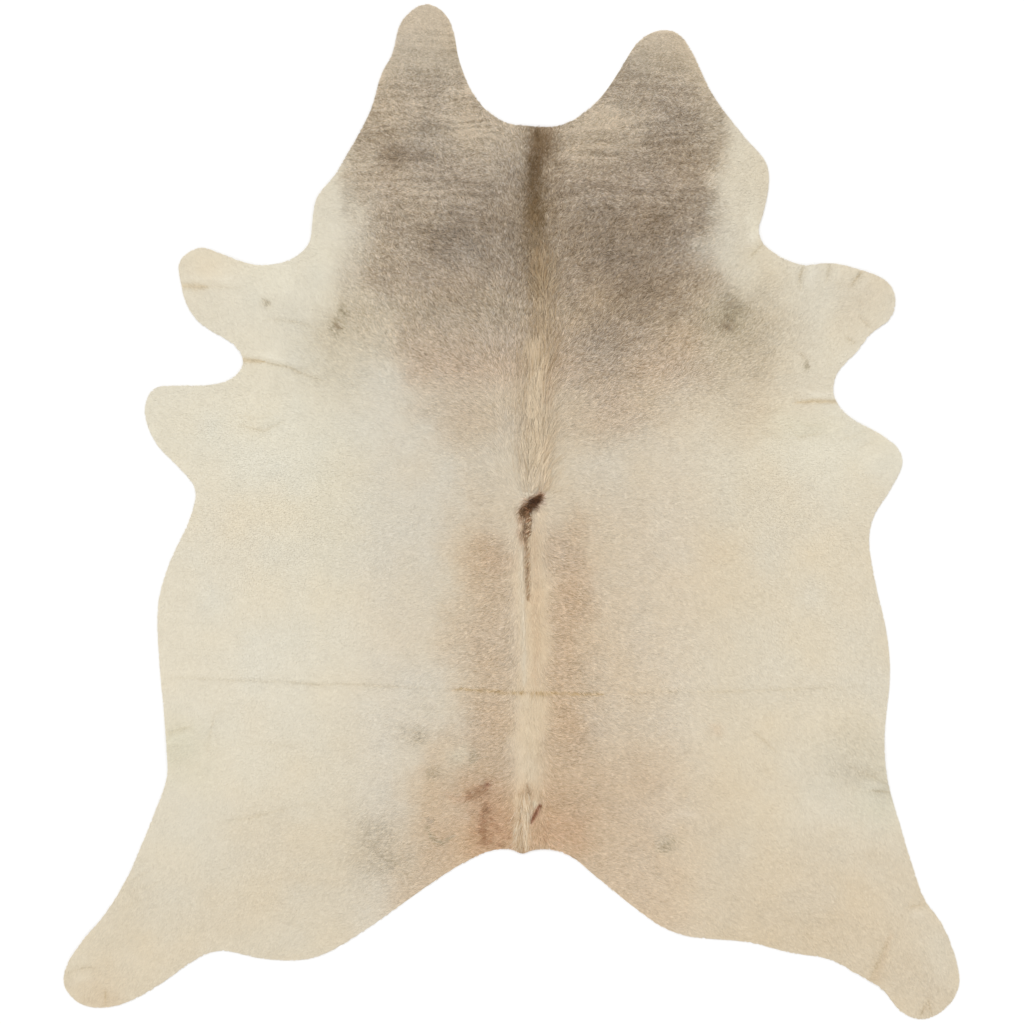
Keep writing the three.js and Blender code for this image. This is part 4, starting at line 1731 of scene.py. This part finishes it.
@dataclass
class Backbone:
    """The longer hair that lies over the coat along the backbone.

    Attributes:
        hide: The map of the lying skin.
        comb: Which way the coat lies.
        markings: Its colours.
        locks: The runs of longer hair.
        marks: How many points a strand has.
        scatter: How far roots usually stray, and at most, as shares of the lock's spread.
        curl: How much a strand's bend differs (degrees).
        sunk: How deep its root is sunk in the coat (mm), and the first share of its rise.
        rounded: How the rise eases off towards the tip.
        lifts: Least and greatest share of the lock's lift.
        roll: How far a strand is rolled to one side.
        taper: Share of its half width that is left before the tip.
        widths: Least and greatest share of the lock's half width.
        differ: How much strands differ in tone.
        shading: How much darker a root and brighter a tip is.
    """

    hide: LyingHide
    comb: Comb
    markings: Markings
    locks: tuple = LOCKS
    marks: int = 5
    scatter: Pair = (0.55, 1.3)
    curl: float = 8.0
    sunk: float = 0.3
    rounded: float = 0.8
    lifts: Pair = (0.3, 1.1)
    roll: float = 0.12
    taper: float = 0.3
    widths: Pair = (0.7, 1.2)
    differ: float = 0.02
    shading: Pair = (-0.03, 0.02)

    def roots(self, lock: Lock, rng: Rng) -> Array:
        """Where the strands of one run grow, strewn along its line.

        Args:
            lock: The run.
            rng: Source of their differences.

        Returns:
            Places across and along (mm).
        """
        share = np.sort(rng.uniform(0, 1, lock.count))
        line = np.array(lock.path, float)
        reached = np.r_[0, np.cumsum(np.hypot(*(line[1:] - line[:-1]).T))]
        usual, most = self.scatter
        stray = np.clip(rng.normal(0, usual, lock.count), -most, most) * lock.spread
        places = between(share * reached[-1], reached, line)
        way = np.gradient(places, axis=0)
        way /= np.maximum(np.linalg.norm(way, axis=1, keepdims=True), TINY)
        return places + stray[:, None] * leftwards(way)

    def strands(self, lock: Lock, rng: Rng) -> Ribbons:
        """The strands of one run.

        Args:
            lock: The run.
            rng: Source of their differences.

        Returns:
            The strands.
        """
        places = self.roots(lock, rng)
        way = self.comb.heading(*places.T)
        way = turned(way, np.radians(lock.lean + rng.normal(0, lock.stray, lock.count)))
        length = rng.uniform(*lock.length, lock.count)
        tips = (places + way * length[:, None]) * MM
        room = self.hide.sample("inward", *(places * MM).T)
        loss = room - self.hide.sample("inward", *tips.T)
        length = np.where(loss > room, length * np.maximum(room, 0) / np.maximum(loss, TINY), length)
        step = (length / (self.marks - 1))[:, None]
        curl = np.radians(lock.bend + rng.normal(0, self.curl, lock.count)) / (self.marks - 1)
        spine = [places]
        for _ in range(self.marks - 1):
            spine.append(spine[-1] + way * step)
            way = turned(way, curl)
        flat = np.stack(spine, axis=1) * MM
        rise = np.linspace(self.sunk, 1, self.marks) ** self.rounded
        across, along = flat[..., 0], flat[..., 1]
        top = self.hide.skin_top(across, along) + self.hide.coat_depth(across, along)
        lift = rng.uniform(*self.lifts, lock.count)[:, None]
        height = top + (rise * lock.lift - self.sunk) * MM * lift
        side = np.column_stack([leftwards(way), rng.normal(0, self.roll, lock.count)])
        taper = np.linspace(1, self.taper, self.marks)
        halves = lock.width * MM * rng.uniform(*self.widths, lock.count)[:, None] * taper
        tones = np.array([tone.srgb for tone in lock.tones])
        own = tones[rng.integers(0, len(tones), lock.count)]
        coat = self.markings.colour(*places.T)
        mixed = lock.own * own + (1 - lock.own) * coat + rng.normal(0, self.differ, (lock.count, 1))
        shading = np.linspace(*self.shading, self.marks)
        return Ribbons(
            np.concatenate([flat, height[..., None]], axis=2),
            side,
            halves,
            mixed[:, None, :] + shading[None, :, None],
        )

    def build(self, material: bpy.types.Material) -> bpy.types.Object:
        """Builds all strands as one piece.

        Args:
            material: The coat's finish.

        Returns:
            The piece.
        """
        rng = np.random.default_rng(SEED + 1)
        runs = [self.strands(lock, rng) for lock in self.locks]
        joined = Ribbons(*(np.concatenate([getattr(run, part) for run in runs])
                           for part in ("spine", "side", "halves", "colours")))
        return joined.piece("backbone_hair", material, rng)


class Side(IntEnum):
    """The skin's finishes, in the order of its material slots."""

    HAIR = 0
    FLESH = 1
    EDGE = 2


@dataclass
class Skin:
    """The tanned skin under the coat: hair side, flesh side and the knife-trimmed edge.

    Attributes:
        hide: The map of the lying skin.
        markings: The colours of the coat, which the skin under it shares.
        top_step: Spacing of the hair side's points (m).
        under_step: Spacing of the flesh side's points (m).
        rounding: Inset (m) and drop of each line over the trimmed edge, from the edge inwards.
        drops: Share of the thickness that a full drop takes, above and below.
        wobble: How far the knife strayed from its line (m).
        cuts: Length of its short and its long strokes (mm).
        map_size: Width and length of one side on the map.
        map_corner: Where the hair side's corner lies on it.
        map_step: How far the flesh side lies from there.
    """

    hide: LyingHide
    markings: Markings
    top_step: float = 11 * MM
    under_step: float = 16 * MM
    rounding: tuple = ((0.0, 0.75), (0.5 * MM, 0.25), (1.6 * MM, 0.0))
    drops: Pair = (0.6, 0.4)
    wobble: float = 0.35 * MM
    cuts: Pair = (19.0, 113.0)
    map_size: Pair = (0.48, 0.97)
    map_corner: Pair = (0.01, 0.015)
    map_step: Pair = (0.5, 0.0)

    def ring(self, inset: float) -> Array:
        """The skin's edge moved inwards.

        Args:
            inset: How far (m).

        Returns:
            The line's points, across and along (m).
        """
        outline = self.hide.outline
        along_edge = np.roll(outline, -1, axis=0) - np.roll(outline, 1, axis=0)
        along_edge /= np.linalg.norm(along_edge, axis=1, keepdims=True)
        reached = np.arange(len(outline)) * self.hide.edge_step / MM
        wobble = self.wobble * np.sin(reached / self.cuts[0] + 2 * np.sin(reached / self.cuts[1]))
        return outline + leftwards(along_edge) * (self.hide.inset + inset + wobble)[:, None]

    def filled(self, ring: Array, step: float, clear: float) -> tuple[Array, Array]:
        """Triangles that fill a ring, with even points inside it.

        Args:
            ring: The closed line (m).
            step: Spacing of the points inside (m).
            clear: How far they keep from the solid's edge (m).

        Returns:
            The points inside the ring, and triangles over the ring's points and then those.
        """
        low, high = ring.min(0), ring.max(0)
        columns = np.arange(low[0], high[0], step)
        rows = np.arange(low[1], high[1], step * math.sqrt(0.75))
        across, along = np.meshgrid(columns, rows)
        across = across + (np.arange(len(rows)) % 2)[:, None] * step / 2
        across, along = across.ravel(), along.ravel()
        within = self.hide.sample("inward", across, along) > clear
        inner = np.stack([across[within], along[within]], axis=1)
        places = [Vector(place) for place in np.concatenate([ring, inner])]
        edges = [(i, (i + 1) % len(ring)) for i in range(len(ring))]
        points, _, faces, sources, _, _ = delaunay_2d_cdt(places, edges, [], 1, SAME_PLACE, True)
        if len(points) != len(places):
            raise ValueError("the skin's edge crosses itself")
        order = np.array([source[0] for source in sources])
        triangles = order[np.array(faces)]
        flats = np.concatenate([ring, inner])
        kept = (triangles >= len(ring)).any(axis=1)
        doubtful = np.flatnonzero(~kept)
        kept[doubtful] = within_ring(flats[triangles[doubtful]].mean(axis=1), ring)
        return inner, triangles[kept]

    def build(self, finishes: list[bpy.types.Material]) -> bpy.types.Object:
        """Builds the skin.

        Args:
            finishes: The hair side, the flesh side and the trimmed edge.

        Returns:
            The piece.
        """
        rings = [self.ring(inset) for inset, _ in self.rounding]
        count = len(rings[0])
        clear = self.hide.inset + self.rounding[-1][0] + 0.5 * self.top_step
        inner, top_faces = self.filled(rings[-1], self.top_step, clear)
        under_inner, under_faces = self.filled(rings[-1], self.under_step, clear + 0.5 * self.under_step)
        lines = list(zip(rings, (drop for _, drop in self.rounding)))
        upper_drop, lower_drop = self.drops
        parts = [(ring, 1 - upper_drop * drop) for ring, drop in reversed(lines)]
        parts += [(inner, 1), *((ring, lower_drop * drop) for ring, drop in lines[1:]), (under_inner, 0)]
        points = np.concatenate([np.column_stack([flat, self.height(flat, share)]) for flat, share in parts])
        starts = np.r_[0, np.cumsum([len(flat) for flat, _ in parts])]
        inner_start, under_start = starts[len(rings)], starts[-2]
        chain = [*starts[:len(rings)], *starts[len(rings) + 1:-2]]
        triangles = [np.where(top_faces < count, top_faces, top_faces + inner_start - count)]
        triangles += [band(upper, lower, count) for upper, lower in zip(chain[:-1], chain[1:])]
        low = np.where(under_faces < count, under_faces + chain[-1], under_faces + under_start - count)
        triangles.append(low[:, ::-1])
        sides = (Side.HAIR, Side.HAIR, Side.EDGE, Side.EDGE, Side.FLESH, Side.FLESH)
        kinds = np.repeat(sides, [len(part) for part in triangles])
        faces = np.concatenate(triangles)
        made = mesh_piece("skin", points, faces, finishes)
        made.data.polygons.foreach_set("material_index", kinds.astype(np.int32))
        made.data.shade_smooth()
        paint(made, self.markings.colour(points[:, 0] / MM, points[:, 1] / MM))
        self.lay_map(made, points, faces, kinds)
        return made

    def height(self, places: Array, share: float) -> Array:
        """Heights in the skin.

        Args:
            places: Places across and along (m).
            share: 0 for the flesh side and 1 for the hair side.

        Returns:
            The height at each place (m).
        """
        low = self.hide.underside(places[:, 0], places[:, 1])
        high = self.hide.skin_top(places[:, 0], places[:, 1])
        return low + share * (high - low)

    def lay_map(self, piece: bpy.types.Object, points: Array, faces: Array,
                kinds: Array) -> None:
        """Maps the hair side to the left half of the square and the flesh side to the right.

        Args:
            piece: The skin.
            points: Its points (m).
            faces: The corners of its triangles.
            kinds: Which finish each triangle has.
        """
        low, high = points[:, :2].min(0), points[:, :2].max(0)
        flat = (points[:, :2] - low) / (high - low) * self.map_size + self.map_corner
        places = flat[faces]
        middle = points[faces][..., 2] - self.height(points[faces].reshape(-1, 3), 0.5).reshape(-1, 3)
        spread = np.clip(middle / self.hide.thickness, -0.5, 0.5) * (kinds == Side.EDGE)[:, None]
        outward = places - places.mean(1, keepdims=True)
        places = places + outward * np.abs(spread)[..., None]
        places[kinds == Side.FLESH] += self.map_step
        add_map(piece, BAKE_MAP, places.reshape(-1, 2))


def within_ring(places: Array, ring: Array) -> Array:
    """Whether places lie inside a closed line.

    Args:
        places: Places across and along.
        ring: The line's points.

    Returns:
        True for each place inside.
    """
    start, end = ring[None], np.roll(ring, -1, axis=0)[None]
    level = places[:, None, 1]
    crossing = (start[..., 1] > level) != (end[..., 1] > level)
    rise = np.where(crossing, end[..., 1] - start[..., 1], 1)
    cut = start[..., 0] + (level - start[..., 1]) / rise * (end[..., 0] - start[..., 0])
    return (crossing & (cut > places[:, None, 0])).sum(axis=1) % 2 == 1


def band(upper: int, lower: int, count: int) -> Array:
    """Triangles between two rings of points that run side by side.

    Args:
        upper: Where the higher or inner ring starts among the points.
        lower: Where the other starts.
        count: How many points a ring has.

    Returns:
        Their corners, with the faces outwards.
    """
    here = np.arange(count)
    after = (here + 1) % count
    first = np.stack([upper + here, lower + here, lower + after], axis=1)
    second = np.stack([upper + here, lower + after, upper + after], axis=1)
    return np.concatenate([first, second])


@dataclass
class Wiring:
    """A small helper that places and joins shader nodes.

    Attributes:
        tree: The node tree.
    """

    tree: bpy.types.NodeTree

    def node(self, kind: str, **values: object) -> bpy.types.Node:
        """A new node.

        Args:
            kind: Blender's name for it.
            **values: Properties that it gets.

        Returns:
            The node.
        """
        made = self.tree.nodes.new(kind)
        for name, value in values.items():
            setattr(made, name, value)
        return made

    def found(self, kind: str) -> bpy.types.Node:
        """The tree's own first node of a kind."""
        return next(node for node in self.tree.nodes if node.type == kind)

    def link(self, source: bpy.types.NodeSocket, target: bpy.types.NodeSocket) -> None:
        """Joins an output to an input."""
        self.tree.links.new(source, target)

    def math(self, operation: str, first: object, second: object) -> bpy.types.NodeSocket:
        """A sum of two sockets or numbers.

        Args:
            operation: Blender's name for the sum.
            first: A socket or a number.
            second: A socket or a number.

        Returns:
            The result's socket.
        """
        made = self.node("ShaderNodeMath", operation=operation)
        for place, value in enumerate((first, second)):
            if isinstance(value, bpy.types.NodeSocket):
                self.link(value, made.inputs[place])
            else:
                made.inputs[place].default_value = value
        return made.outputs[0]


COLOUR = "NodeSocketColor"
VECTOR = "NodeSocketVector"
NUMBER = "NodeSocketFloat"


class Effect(Enum):
    """Shader groups that several finishes share."""

    HAIR_STREAKS = "Hair streaks"
    LEATHER_GRAIN = "Leather grain"


def new_group(effect: Effect, inputs: tuple) -> tuple[Wiring, dict, dict]:
    """An empty shader group with named sockets, which puts out colour, roughness and height.

    Args:
        effect: Which effect it will be.
        inputs: Name, kind and value of each input.

    Returns:
        Its wiring, its inputs by name and its outputs by name.
    """
    tree = bpy.data.node_groups.new(effect.value, "ShaderNodeTree")
    for name, kind, value in inputs:
        socket = tree.interface.new_socket(name, in_out="INPUT", socket_type=kind)
        if value is not None:
            socket.default_value = value
    for name, kind in (("Colour", COLOUR), ("Roughness", NUMBER), ("Height", NUMBER)):
        tree.interface.new_socket(name, in_out="OUTPUT", socket_type=kind)
    wiring = Wiring(tree)
    entry = wiring.node("NodeGroupInput")
    leave = wiring.node("NodeGroupOutput")
    return (
        wiring,
        {socket.name: socket for socket in entry.outputs if socket.name},
        {socket.name: socket for socket in leave.inputs if socket.name},
    )


def hair_streaks() -> bpy.types.NodeTree:
    """Single hairs inside a tuft: fine lines from root to tip in colour, gloss and height.

    Returns:
        The group.
    """
    wiring, given, out = new_group(
        Effect.HAIR_STREAKS,
        (
            ("Colour", COLOUR, (0.6, 0.5, 0.4, 1.0)),
            ("Strand", VECTOR, None),
            ("Hairs", NUMBER, 5.0),
            ("Lengths", NUMBER, 0.7),
            ("Contrast", NUMBER, 0.2),
            ("Dullness", NUMBER, 0.78),
            ("Gloss", NUMBER, 0.5),
        ),
    )
    split = wiring.node("ShaderNodeSeparateXYZ")
    wiring.link(given["Strand"], split.inputs[0])
    across = wiring.math("MULTIPLY", split.outputs[0], given["Hairs"])
    place = wiring.node("ShaderNodeCombineXYZ")
    wiring.link(across, place.inputs[0])
    wiring.link(wiring.math("MULTIPLY", split.outputs[1], given["Lengths"]), place.inputs[1])
    noise = wiring.node("ShaderNodeTexNoise")
    noise.inputs["Scale"].default_value = 1.0
    noise.inputs["Detail"].default_value = 1.0
    wiring.link(place.outputs[0], noise.inputs["Vector"])
    swing = wiring.math("SUBTRACT", noise.outputs["Fac"], 0.5)
    factor = wiring.math("ADD", 1.0, wiring.math("MULTIPLY", swing, given["Contrast"]))
    scaled = wiring.node("ShaderNodeVectorMath", operation="SCALE")
    wiring.link(given["Colour"], scaled.inputs[0])
    wiring.link(factor, scaled.inputs["Scale"])
    wiring.link(scaled.outputs[0], out["Colour"])
    gloss = wiring.math("MULTIPLY", swing, given["Gloss"])
    wiring.link(wiring.math("SUBTRACT", given["Dullness"], gloss), out["Roughness"])
    wiring.link(noise.outputs["Fac"], out["Height"])
    return wiring.tree


def leather_grain() -> bpy.types.NodeTree:
    """Clouded leather: two tones mixed by coarse and fine noise, with matching height.

    Returns:
        The group.
    """
    wiring, given, out = new_group(
        Effect.LEATHER_GRAIN,
        (
            ("Tone", COLOUR, (0.6, 0.5, 0.4, 1.0)),
            ("Second tone", COLOUR, (0.5, 0.4, 0.3, 1.0)),
            ("Place", VECTOR, None),
            ("Cloud size", NUMBER, 14.0),
            ("Pore size", NUMBER, 420.0),
            ("Cloud share", NUMBER, 0.65),
            ("Pore share", NUMBER, 0.35),
            ("Dullness", NUMBER, 0.7),
            ("Gloss", NUMBER, 0.25),
        ),
    )
    cloud = wiring.node("ShaderNodeTexNoise")
    pores = wiring.node("ShaderNodeTexNoise")
    for texture, size, detail in ((cloud, "Cloud size", 4.0), (pores, "Pore size", 3.0)):
        wiring.link(given["Place"], texture.inputs["Vector"])
        wiring.link(given[size], texture.inputs["Scale"])
        texture.inputs["Detail"].default_value = detail
    shares = [wiring.math("MULTIPLY", texture.outputs["Fac"], given[share])
              for texture, share in ((cloud, "Cloud share"), (pores, "Pore share"))]
    blend = wiring.math("ADD", *shares)
    mix = wiring.node("ShaderNodeMix", data_type="RGBA")
    sockets = [s for s in mix.inputs if s.type == "RGBA"]
    wiring.link(blend, mix.inputs[0])
    wiring.link(given["Tone"], sockets[0])
    wiring.link(given["Second tone"], sockets[1])
    wiring.link(next(s for s in mix.outputs if s.type == "RGBA"), out["Colour"])
    gloss = wiring.math("MULTIPLY", blend, given["Gloss"])
    wiring.link(wiring.math("ADD", given["Dullness"], gloss), out["Roughness"])
    wiring.link(pores.outputs["Fac"], out["Height"])
    return wiring.tree


@dataclass(frozen=True)
class Finish:
    """What every finish of the hide has in common.

    Attributes:
        name: The material's name.
        bump: How strongly the fine height shows.
        bump_depth: How high it is (m).
        specular: The shader's specular level.
    """

    name: str
    bump: float = 0.3
    bump_depth: float = 0.2 * MM
    specular: float = 0.18

    def begin(self) -> tuple[bpy.types.Material, Wiring, bpy.types.Node]:
        """A new material with one shader.

        Returns:
            The material, its wiring and its shader.
        """
        material = bpy.data.materials.new(self.name)
        material.use_nodes = True
        wiring = Wiring(material.node_tree)
        shader = wiring.found("BSDF_PRINCIPLED")
        shader.inputs["Specular IOR Level"].default_value = self.specular
        return material, wiring, shader

    def dress(self, wiring: Wiring, shader: bpy.types.Node, group: bpy.types.Node) -> None:
        """Joins a group's colour, roughness and height to the shader.

        Args:
            wiring: The material's wiring.
            shader: Its shader.
            group: The group node.
        """
        wiring.link(group.outputs["Colour"], shader.inputs["Base Color"])
        wiring.link(group.outputs["Roughness"], shader.inputs["Roughness"])
        bump = wiring.node("ShaderNodeBump")
        bump.inputs["Strength"].default_value = self.bump
        bump.inputs["Distance"].default_value = self.bump_depth
        wiring.link(group.outputs["Height"], bump.inputs["Height"])
        wiring.link(bump.outputs["Normal"], shader.inputs["Normal"])


@dataclass(frozen=True)
class HairFinish(Finish):
    """Glossy cattle hair in the coat's own colours.

    Attributes:
        hairs: Fine lines across one tuft.
        contrast: How much they differ.
        sheen: Soft light at grazing angles.
        sheen_roughness: How soft it is.
    """

    hairs: float = 5.0
    contrast: float = 0.22
    sheen: float = 0.06
    sheen_roughness: float = 0.5

    def material(self, streaks: bpy.types.NodeTree) -> bpy.types.Material:
        """Builds the material.

        Args:
            streaks: The group of fine hair lines.

        Returns:
            The material.
        """
        material, wiring, shader = self.begin()
        colour = wiring.node("ShaderNodeAttribute", attribute_name=COAT_LAYER)
        strand = wiring.node("ShaderNodeUVMap", uv_map=STRAND_MAP)
        group = wiring.node("ShaderNodeGroup", node_tree=streaks)
        group.inputs["Hairs"].default_value = self.hairs
        group.inputs["Contrast"].default_value = self.contrast
        wiring.link(colour.outputs["Color"], group.inputs["Colour"])
        wiring.link(strand.outputs["UV"], group.inputs["Strand"])
        self.dress(wiring, shader, group)
        shader.inputs["Sheen Weight"].default_value = self.sheen
        shader.inputs["Sheen Roughness"].default_value = self.sheen_roughness
        return material


@dataclass(frozen=True)
class LeatherFinish(Finish):
    """Leather of two tones.

    Attributes:
        tone: The main tone, or nothing where the coat's own colour is used.
        second: The tone it clouds over to.
        cloud: Size of the clouds (per metre).
        pores: Size of the fine grain (per metre).
    """

    tone: Tone | None = None
    second: Tone = Tone.SUEDE_NAP
    cloud: float = 14.0
    pores: float = 420.0

    def material(self, grain: bpy.types.NodeTree) -> bpy.types.Material:
        """Builds the material.

        Args:
            grain: The group of leather grain.

        Returns:
            The material.
        """
        material, wiring, shader = self.begin()
        place = wiring.node("ShaderNodeTexCoord")
        group = wiring.node("ShaderNodeGroup", node_tree=grain)
        wiring.link(place.outputs["Object"], group.inputs["Place"])
        group.inputs["Cloud size"].default_value = self.cloud
        group.inputs["Pore size"].default_value = self.pores
        group.inputs["Second tone"].default_value = self.second.linear
        if self.tone is None:
            colour = wiring.node("ShaderNodeAttribute", attribute_name=COAT_LAYER)
            wiring.link(colour.outputs["Color"], group.inputs["Tone"])
            wiring.link(colour.outputs["Color"], group.inputs["Second tone"])
        else:
            group.inputs["Tone"].default_value = self.tone.linear
        self.dress(wiring, shader, group)
        return material


@dataclass
class Studio:
    """The camera over the hide, the pale floor and the soft light.

    Attributes:
        lens: The camera's focal length (mm).
        sensor: Its sensor's width (mm).
        view_width: Width of the picture on the floor (m).
        centre: What the camera looks straight down at, across and along (m).
        focus: Height at which the picture has that width (m).
        floor_size: Side of the square floor (m).
        floor_drop: How far it lies below the hide (m).
        floor_roughness: How dull it is.
        floor_specular: Its specular level.
        sky: Strength of the even light from all sides.
        sun: Strength of the soft light from the upper left.
        sun_size: How broad that light is (degrees).
        sun_turn: How far it is turned about the first and the second axis (degrees).
    """

    lens: float = 85.0
    sensor: float = 36.0
    view_width: float = PICTURE_PIXELS * PIXEL_MM * MM
    centre: Pair = (PIXEL_MM / 2 * MM, -PIXEL_MM / 2 * MM)
    focus: float = 5 * MM
    floor_size: float = 400.0
    floor_drop: float = 0.3 * MM
    floor_roughness: float = 0.9
    floor_specular: float = 0.1
    sky: float = 0.815
    sun: float = 1.22
    sun_size: float = 35.0
    sun_turn: Pair = (-17.0, -9.0)

    def camera(self) -> None:
        """Puts the camera straight over the hide, with the neck at the top of the picture."""
        data = bpy.data.cameras.new("camera")
        data.lens = self.lens
        data.sensor_width = self.sensor
        made = placed("camera", data)
        made.location = (*self.centre, self.view_width * self.lens / self.sensor + self.focus)
        bpy.context.scene.camera = made

    def floor(self) -> bpy.types.Object:
        """The plain pale floor.

        Returns:
            The floor.
        """
        half = self.floor_size / 2
        corners = np.array([(-half, -half, 0), (half, -half, 0), (half, half, 0), (-half, half, 0)])
        corners[:, 2] = -self.floor_drop
        material = bpy.data.materials.new("pale floor")
        material.use_nodes = True
        shader = Wiring(material.node_tree).found("BSDF_PRINCIPLED")
        shader.inputs["Base Color"].default_value = Tone.PAPER.linear
        shader.inputs["Roughness"].default_value = self.floor_roughness
        shader.inputs["Specular IOR Level"].default_value = self.floor_specular
        return mesh_piece("floor", corners, np.array([(0, 1, 2), (0, 2, 3)]), [material])

    def light(self) -> None:
        """Even light from all round and a broad soft light from the upper left."""
        world = bpy.data.worlds.new("studio")
        world.use_nodes = True
        background = Wiring(world.node_tree).found("BACKGROUND")
        background.inputs["Color"].default_value = (1, 1, 1, 1)
        background.inputs["Strength"].default_value = self.sky
        bpy.context.scene.world = world
        data = bpy.data.lights.new("soft light", "SUN")
        data.energy = self.sun
        data.angle = math.radians(self.sun_size)
        placed("soft light", data).rotation_euler = (*map(math.radians, self.sun_turn), 0)

    def build(self) -> None:
        """Sets up the whole studio."""
        self.camera()
        self.floor()
        self.light()
        bpy.context.scene.view_settings.view_transform = "Standard"


def main() -> None:
    """Builds the hide around the frame and reports each piece."""
    logging.basicConfig(level=logging.INFO, format="%(name)s: %(message)s")
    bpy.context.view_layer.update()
    Studio().build()
    hide = LyingHide(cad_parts[HIDE_NODE])
    markings = Markings()
    comb = Comb()
    log.info("the outline has %d points", len(hide.outline))
    hair = HairFinish("cattle hair").material(hair_streaks())
    grain = leather_grain()
    finishes = [
        LeatherFinish("skin under the coat").material(grain),
        LeatherFinish("suede flesh side", tone=Tone.SUEDE).material(grain),
        LeatherFinish("trimmed edge", tone=Tone.RAW_EDGE, cloud=60.0).material(grain),
    ]
    coat = Coat(hide, markings, comb).build(hair)
    coat.append(Backbone(hide, comb, markings).build(hair))
    skin = Skin(hide, markings).build(finishes)
    for piece in (skin, *coat):
        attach(piece, BODY)
        log.info("%s has %d triangles", piece.name, len(piece.data.polygons))
    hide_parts(HIDE_NODE)


if __name__ == "__main__":
    main()
